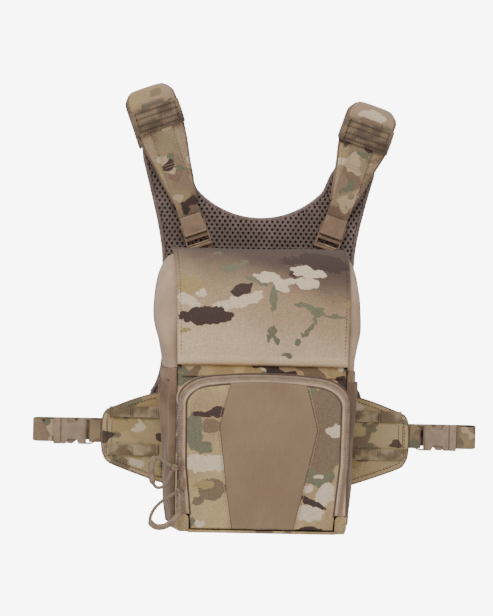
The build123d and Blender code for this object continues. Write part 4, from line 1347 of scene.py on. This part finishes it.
def make_keeper(side, place):
    """Sewn sleeve of webbing round the strap, with rows of zigzag stitching."""
    low = STRAP_TURN[side] - 24.5
    high = low + 23.5
    half, near, far = STRAP_HALF + 0.6, STRAP_MIDDLE - 5.2, STRAP_MIDDLE + 6.9
    plan = round_box(half, near, far, 2.6)
    plan = resample(plan, 1.6, closed=True)
    rows = ((low, 0.2), (low + 0.5, 0.75), ((low + high) / 2, 0.95), (high - 0.5, 0.75), (high, 0.2),
            (high - 0.5, -0.4), ((low + high) / 2, -0.3), (low + 0.5, -0.4))
    middle = np.array((0.0, (near + far) / 2))
    loops = []
    for up, out in rows:
        grow = 1 + out / np.array([half, (far - near) / 2])
        swell = middle + (plan - middle) * grow
        wave = 0.25 * ripples(swell[:, 0], np.full(len(swell), up), 16, 52)
        loops.append([place(t, d, up + w) for (t, d), w in zip(swell, wave)])
    sleeve = loft(loops, wrap=True)
    piece("keeper_sleeve_" + side, sleeve, "keeper", "root", ["strap_keeper_" + side])
    tacks = []
    for up in (low + 3.0, low + 8.4, high - 8.4, high - 3.0):
        steps = enumerate(np.arange(3 - half, half - 2.5, 1.3))
        zigzag = [place(t, far + 1.0, up + (0.9 if i % 2 else -0.9)) for i, t in steps]
        tacks.append(tube(zigzag, 0.3, sides=5))
    for t in (4 - half, half - 4):
        line = [place(t, far + 1.0, up) for up in np.linspace(low + 2, high - 2, 20)]
        tacks.append(stitches(line, FRONTWARD, pitch=2.2, length=1.6, radius=0.3))
    piece("keeper_tacks_" + side, join(tacks), "thread_dark", "root")


def make_lock(side, place, across):
    """Ladder lock: two thin rails, three bars and a smooth thumb tab with a ridge along its foot."""
    parts = []
    for sign in (-1, 1):
        rail = [place(sign * (LOCK_HALF - 0.7), LOCK_DEPTH + 0.9 * smooth_step(s, 12, 24), s)
                for s in np.linspace(-1.0, 24.0, 16)]
        parts.append(band(rail, across, 0.75, 3.8, square=0.5, count=12))
    bars = ((0.7, 3.2, LOCK_DEPTH, 3.4), (9.5, 3.8, LOCK_DEPTH, 3.4), (20.0, 3.6, LOCK_DEPTH + 0.3, 3.6))
    for up, width, depth, thick_bar in bars:
        bar = [place(t, depth, up) for t in np.linspace(-LOCK_HALF + 0.5, LOCK_HALF - 0.5, 16)]
        upward = np.array(place(0, 0, 1)) - np.array(place(0, 0, 0))
        parts.append(band(bar, upward, width / 2, thick_bar, square=0.55, count=16))
    tab_line = [(LOCK_DEPTH + 2.7, 13.6), (LOCK_DEPTH + 2.9, 16.0), (LOCK_DEPTH + 2.6, 25.0),
                (LOCK_DEPTH + 2.9, 31.0)]
    tab_path = resample(rounded(tab_line, 2), 0.8)
    widths = np.interp(tab_path[:, 1], (13, 18, 31), (11.3, 10.8, 10.3))
    tab = [place(0, d, s) for d, s in tab_path]
    parts.append(band(tab, across, widths, 2.2, square=0.35, count=24, crown=0.15))
    ridge = [place(t, LOCK_DEPTH + 3.3, 13.4) for t in np.linspace(-10.2, 10.2, 16)]
    parts.append(tube(ridge, 1.25, sides=12))
    piece("lock_frame_" + side, join(parts), "lock", "root", ["ladder_lock_" + side])


# ------------------------------------------------------------------ spacer mesh back panel

HOLE_PITCH = 5.0
HOLE_ROW = 3.7


def panel_outline():
    """Front view of the mesh panel, with the round neck scoop at the top."""
    flank = [(102, 179), (94, 145), (91, 120), (89, 40), (93, 8), (104, -9), (100, -75), (85, -92),
             (80, -130)]
    right = [(68, 209), (84, 226), (113.5, 220), *flank]
    left = [(-x, z) for x, z in reversed([(68, 209), (90, 238), (117.5, 238), *flank])]
    rise, half = 26.5, 60.0
    radius = (rise ** 2 + half ** 2) / (2 * rise)
    sweep = math.asin(half / radius)
    scoop = [(radius * math.sin(a), 162.5 + radius * (1 - math.cos(a)))
             for a in np.linspace(-sweep, sweep, 40)]
    return resample(rounded(np.array(right + left + scoop), 2, closed=True), 2.5, closed=True)


def inside(points, outline):
    """Which points lie inside a closed outline."""
    x, z = points[:, 0][:, None], points[:, 1][:, None]
    x1, z1 = outline[:, 0][None, :], outline[:, 1][None, :]
    x2, z2 = np.roll(outline, -1, 0)[:, 0][None, :], np.roll(outline, -1, 0)[:, 1][None, :]
    crosses = ((z1 > z) != (z2 > z)) & (x < (x2 - x1) * (z - z1) / (z2 - z1 + 1e-12) + x1)
    return crosses.sum(1) % 2 == 1


def perforated(outline, depth, wanted, out):
    """A knitted face with staggered oval holes, as a closed sheet of brick-laid cells."""
    low, high = outline.min(0), outline.max(0)
    cells = []
    row = 0
    z = low[1]
    while z < high[1]:
        start = low[0] + (HOLE_PITCH / 2 if row % 2 else 0.0)
        for x in np.arange(start, high[0], HOLE_PITCH):
            cells.append((x, z))
        z += HOLE_ROW
        row += 1
    cells = np.array(cells)
    half = np.array((HOLE_PITCH / 2, HOLE_ROW / 2))
    keep = wanted(cells[:, 0], cells[:, 1])
    for corner in ((-1, -1), (1, -1), (1, 1), (-1, 1)):
        keep &= inside(cells + half * np.array(corner) * 1.02, outline)
    rim = np.array([(-1, -1), (0, -1), (1, -1), (1, 1), (0, 1), (-1, 1)]) * half
    turn = np.radians([225, 270, 315, 45, 90, 135])
    hole = np.stack([1.45 * np.cos(turn), 1.42 * np.sin(turn)], 1)
    hole[[1, 4]] *= 0.93
    vertices, faces = [], []
    for x, z in cells[keep]:
        base = len(vertices)
        centre = np.array((x, z))
        for ring, sink in ((rim, 0.0), (hole * 1.16, 0.05), (hole, 0.45)):
            for px, pz in centre + ring:
                vertices.append(at(px, depth - out * sink, pz))
        for i in range(6):
            j = (i + 1) % 6
            faces.append((base + i, base + j, base + 6 + j, base + 6 + i))
            faces.append((base + 6 + i, base + 6 + j, base + 12 + j, base + 12 + i))
    return vertices, faces


def weld(made, thickness, out):
    """Joins the cells of a sheet and gives it thickness."""
    work = bmesh.new()
    work.from_mesh(made.data)
    bmesh.ops.remove_doubles(work, verts=work.verts, dist=0.02 * MM)
    for face in work.faces:
        face.normal_update()
        if face.normal.y * out > 0:
            face.normal_flip()
    bmesh.ops.solidify(work, geom=work.faces[:], thickness=thickness * MM)
    work.to_mesh(made.data)
    work.free()
    made.data.polygons.foreach_set("use_smooth", [True] * len(made.data.polygons))


def make_panel():
    outline = counterclockwise(panel_outline())
    core = pillow(offset(outline, 1.6), 1.6, PANEL_FRONT - 1.6, 1.0)
    piece("panel_core", core, "core", "root", ["back_panel"])

    def seen(x, z):
        return (z > 112) | (np.abs(x) > 74)

    face = perforated(outline, PANEL_FRONT - 0.1, seen, 1)
    front = piece("panel_front", face, "knit", "root")
    weld(front, 1.0, 1)
    face = perforated(outline, 0.1, lambda x, z: x == x, -1)
    back = piece("panel_back", face, "knit", "root")
    weld(back, 1.0, -1)
    soft = offset(outline, 2.2)
    edge = []
    for k in range(12):
        angle = 2 * math.pi * k / 12
        ring = offset(soft, 2.2 * math.cos(angle))
        edge.append([at(x, PANEL_FRONT / 2 + 3.9 * math.sin(angle), z) for x, z in ring])
    piece("panel_edge", loft(edge, wrap=True), "knit", "root")


# ------------------------------------------------------------------ wings and buckles

BUCKLE_Z = -43.0
WING_FRONT = 12.3
WING_OUTLINE = ((84, -90), (90, -90), (138, -73), (142, -69), (146, -60), (146, -32), (143, -23),
                (137, -20.5), (108, -9), (84, -4))


def make_wing(side, sign):
    points = counterclockwise([(sign * x, z) for x, z in WING_OUTLINE])
    points = resample(rounded(points, 2, closed=True), 3.0, closed=True)
    shape = pillow(points, 8.3, WING_FRONT - 0.1, 1.2)
    piece("wing_skin_" + side, shape, "wing", "root", ["wing_" + side])
    edge = tube(placed(offset(points, 0.8), 10.2), 1.75, sides=10, closed=True)
    piece("wing_edge_" + side, edge, "binding", "root")
    rows = []
    hem_line = placed(offset(points, 4.0), WING_FRONT)
    threads = [stitches(hem_line, FRONTWARD, pitch=3.2, length=2.2, closed=True)]
    for z in (-24.0, -60.0):
        last = 144.0 if z < -30 else 139.0
        x = np.linspace(92.0, last, 60)
        rise = 0.55 + 0.75 * np.abs(np.sin((x - 92.0) * math.pi / 25.0))
        line = [at(sign * a, WING_FRONT + r, z) for a, r in zip(x, rise)]
        rows.append(band(line, UPWARD, 5.2, 1.3, count=16))
        for column in (92.5, 117.0, last - 2.5):
            for step in (0.0, 2.0):
                line = [at(sign * (column + step), WING_FRONT + 1.35, height)
                        for height in np.linspace(z - 4.6, z + 4.6, 12)]
                threads.append(stitches(line, FRONTWARD, pitch=1.5, length=1.1, radius=0.28))
    piece("wing_row_" + side, join(rows), "row", "root", ["wing_rows_" + side])
    for column in (136.5, 140.5):
        line = [at(sign * column, WING_FRONT + 0.1, z) for z in np.linspace(-54, -31, 16)]
        threads.append(stitches(line, FRONTWARD, pitch=2.4, length=1.7, radius=0.28))
    piece("wing_stitches_" + side, join(threads), "thread_dark", "root")
    turn_x, radius = 154.3, 3.0
    angles = np.linspace(-math.pi / 2, math.pi / 2, 14)
    arc = [(turn_x + radius * math.cos(a), 8.0 + radius * math.sin(a)) for a in angles]
    path = resample([(118.0, 5.0), (140.0, 5.0), *arc, (146.8, 11.0)], 1.5)
    strip = band([at(sign * x, d, BUCKLE_Z) for x, d in path], UPWARD, WEB_WIDTH / 2, WEB_THICK, count=24)
    piece("wing_loop_" + side, strip, "webbing", "root", ["wing_strap_" + side])


def make_side_strap(side, sign):
    """Webbing from the plug to its fold, and back behind to the rear yoke."""
    front, rear = 8.25, -3.5
    middle, radius = (front + rear) / 2, (front - rear) / 2
    turn_x = 211.0 - radius - 0.75
    angles = np.linspace(math.pi / 2, -math.pi / 2, 18)
    arc = [(turn_x + radius * math.cos(a), middle + radius * math.sin(a), 1.0 - math.sin(a)) for a in angles]
    path = resample([(187.4, front, 0.0), *arc, (150.0, rear, 2.0), (28.0, rear, 2.0)], 2.0)
    line = [at(sign * x, d, BUCKLE_Z + up) for x, d, up in path]
    strip = band(line, UPWARD, WEB_WIDTH / 2, WEB_THICK, count=24)
    piece("side_web_" + side, strip, "webbing", "plug_" + side, ["side_strap_" + side])
    rows = []
    for column in (30.5, 33.0):
        line = [at(sign * column, rear - 0.85, BUCKLE_Z + 2.0 + z) for z in np.linspace(-9, 9, 16)]
        rows.append(stitches(line, BACKWARD, pitch=1.7, length=1.2, radius=0.28))
    piece("side_web_stitches_" + side, join(rows), "thread", "plug_" + side)


def make_buckle(side, sign):
    for node in ("buckle_socket_", "buckle_plug_", "prong_upper_", "prong_lower_"):
        paint(node + side, "buckle")
    for which, up in (("upper", 1), ("lower", -1)):
        ribs = []
        for x in np.linspace(171.2, 178.2, 7):
            height = BUCKLE_Z + up * 11.6
            ribs.append(tube([at(sign * x, 5.9, height), at(sign * x, 10.1, height)], 0.42, sides=8))
        end = which + "_" + side
        piece("prong_ribs_" + end, join(ribs), "buckle", "prong_" + end + "_arm")


# ------------------------------------------------------------------ rear yoke

YOKE_OUTLINE = ((58, 92), (72, 84), (44, 20), (62, -20), (62, -58))


def make_yoke():
    right = list(YOKE_OUTLINE)
    points = counterclockwise(right + [(-x, z) for x, z in reversed(right)])
    points = resample(rounded(points, 3, closed=True), 3.0, closed=True)
    shape = pillow(points, -18.6, -9.6, 2.4, crown=0.7, reach=2.0, steps=5)
    pad = piece("yoke_pad", shape, "strap", "root", ["rear_yoke"])
    binding = tube(placed(offset(points, 0.6), -14.1), 2.3, sides=12, closed=True)
    piece("yoke_binding", binding, "binding", "root")
    rows = [stitches(placed(offset(points, 6.0), -19.2), BACKWARD, pitch=3.2, length=2.2, closed=True)]
    piece("yoke_stitches", join(rows), "thread", "root")
    paint("yoke_adjusters", "lock")


make_materials()
make_camera()
make_stage()
make_pull("upper", UPPER_ROUTE, 0.24, 0.60)
make_pull("lower", LOWER_ROUTE, 0.42, 0.88)
make_lid()
make_cheeks()
make_pouch()
make_side_pockets()
make_flap()
make_pocket_wall()
make_zip()
make_sliders()
make_panel()
make_yoke()
for name, way in SIDES.items():
    make_strap(name)
    make_wing(name, way)
    make_buckle(name, way)
    make_side_strap(name, way)
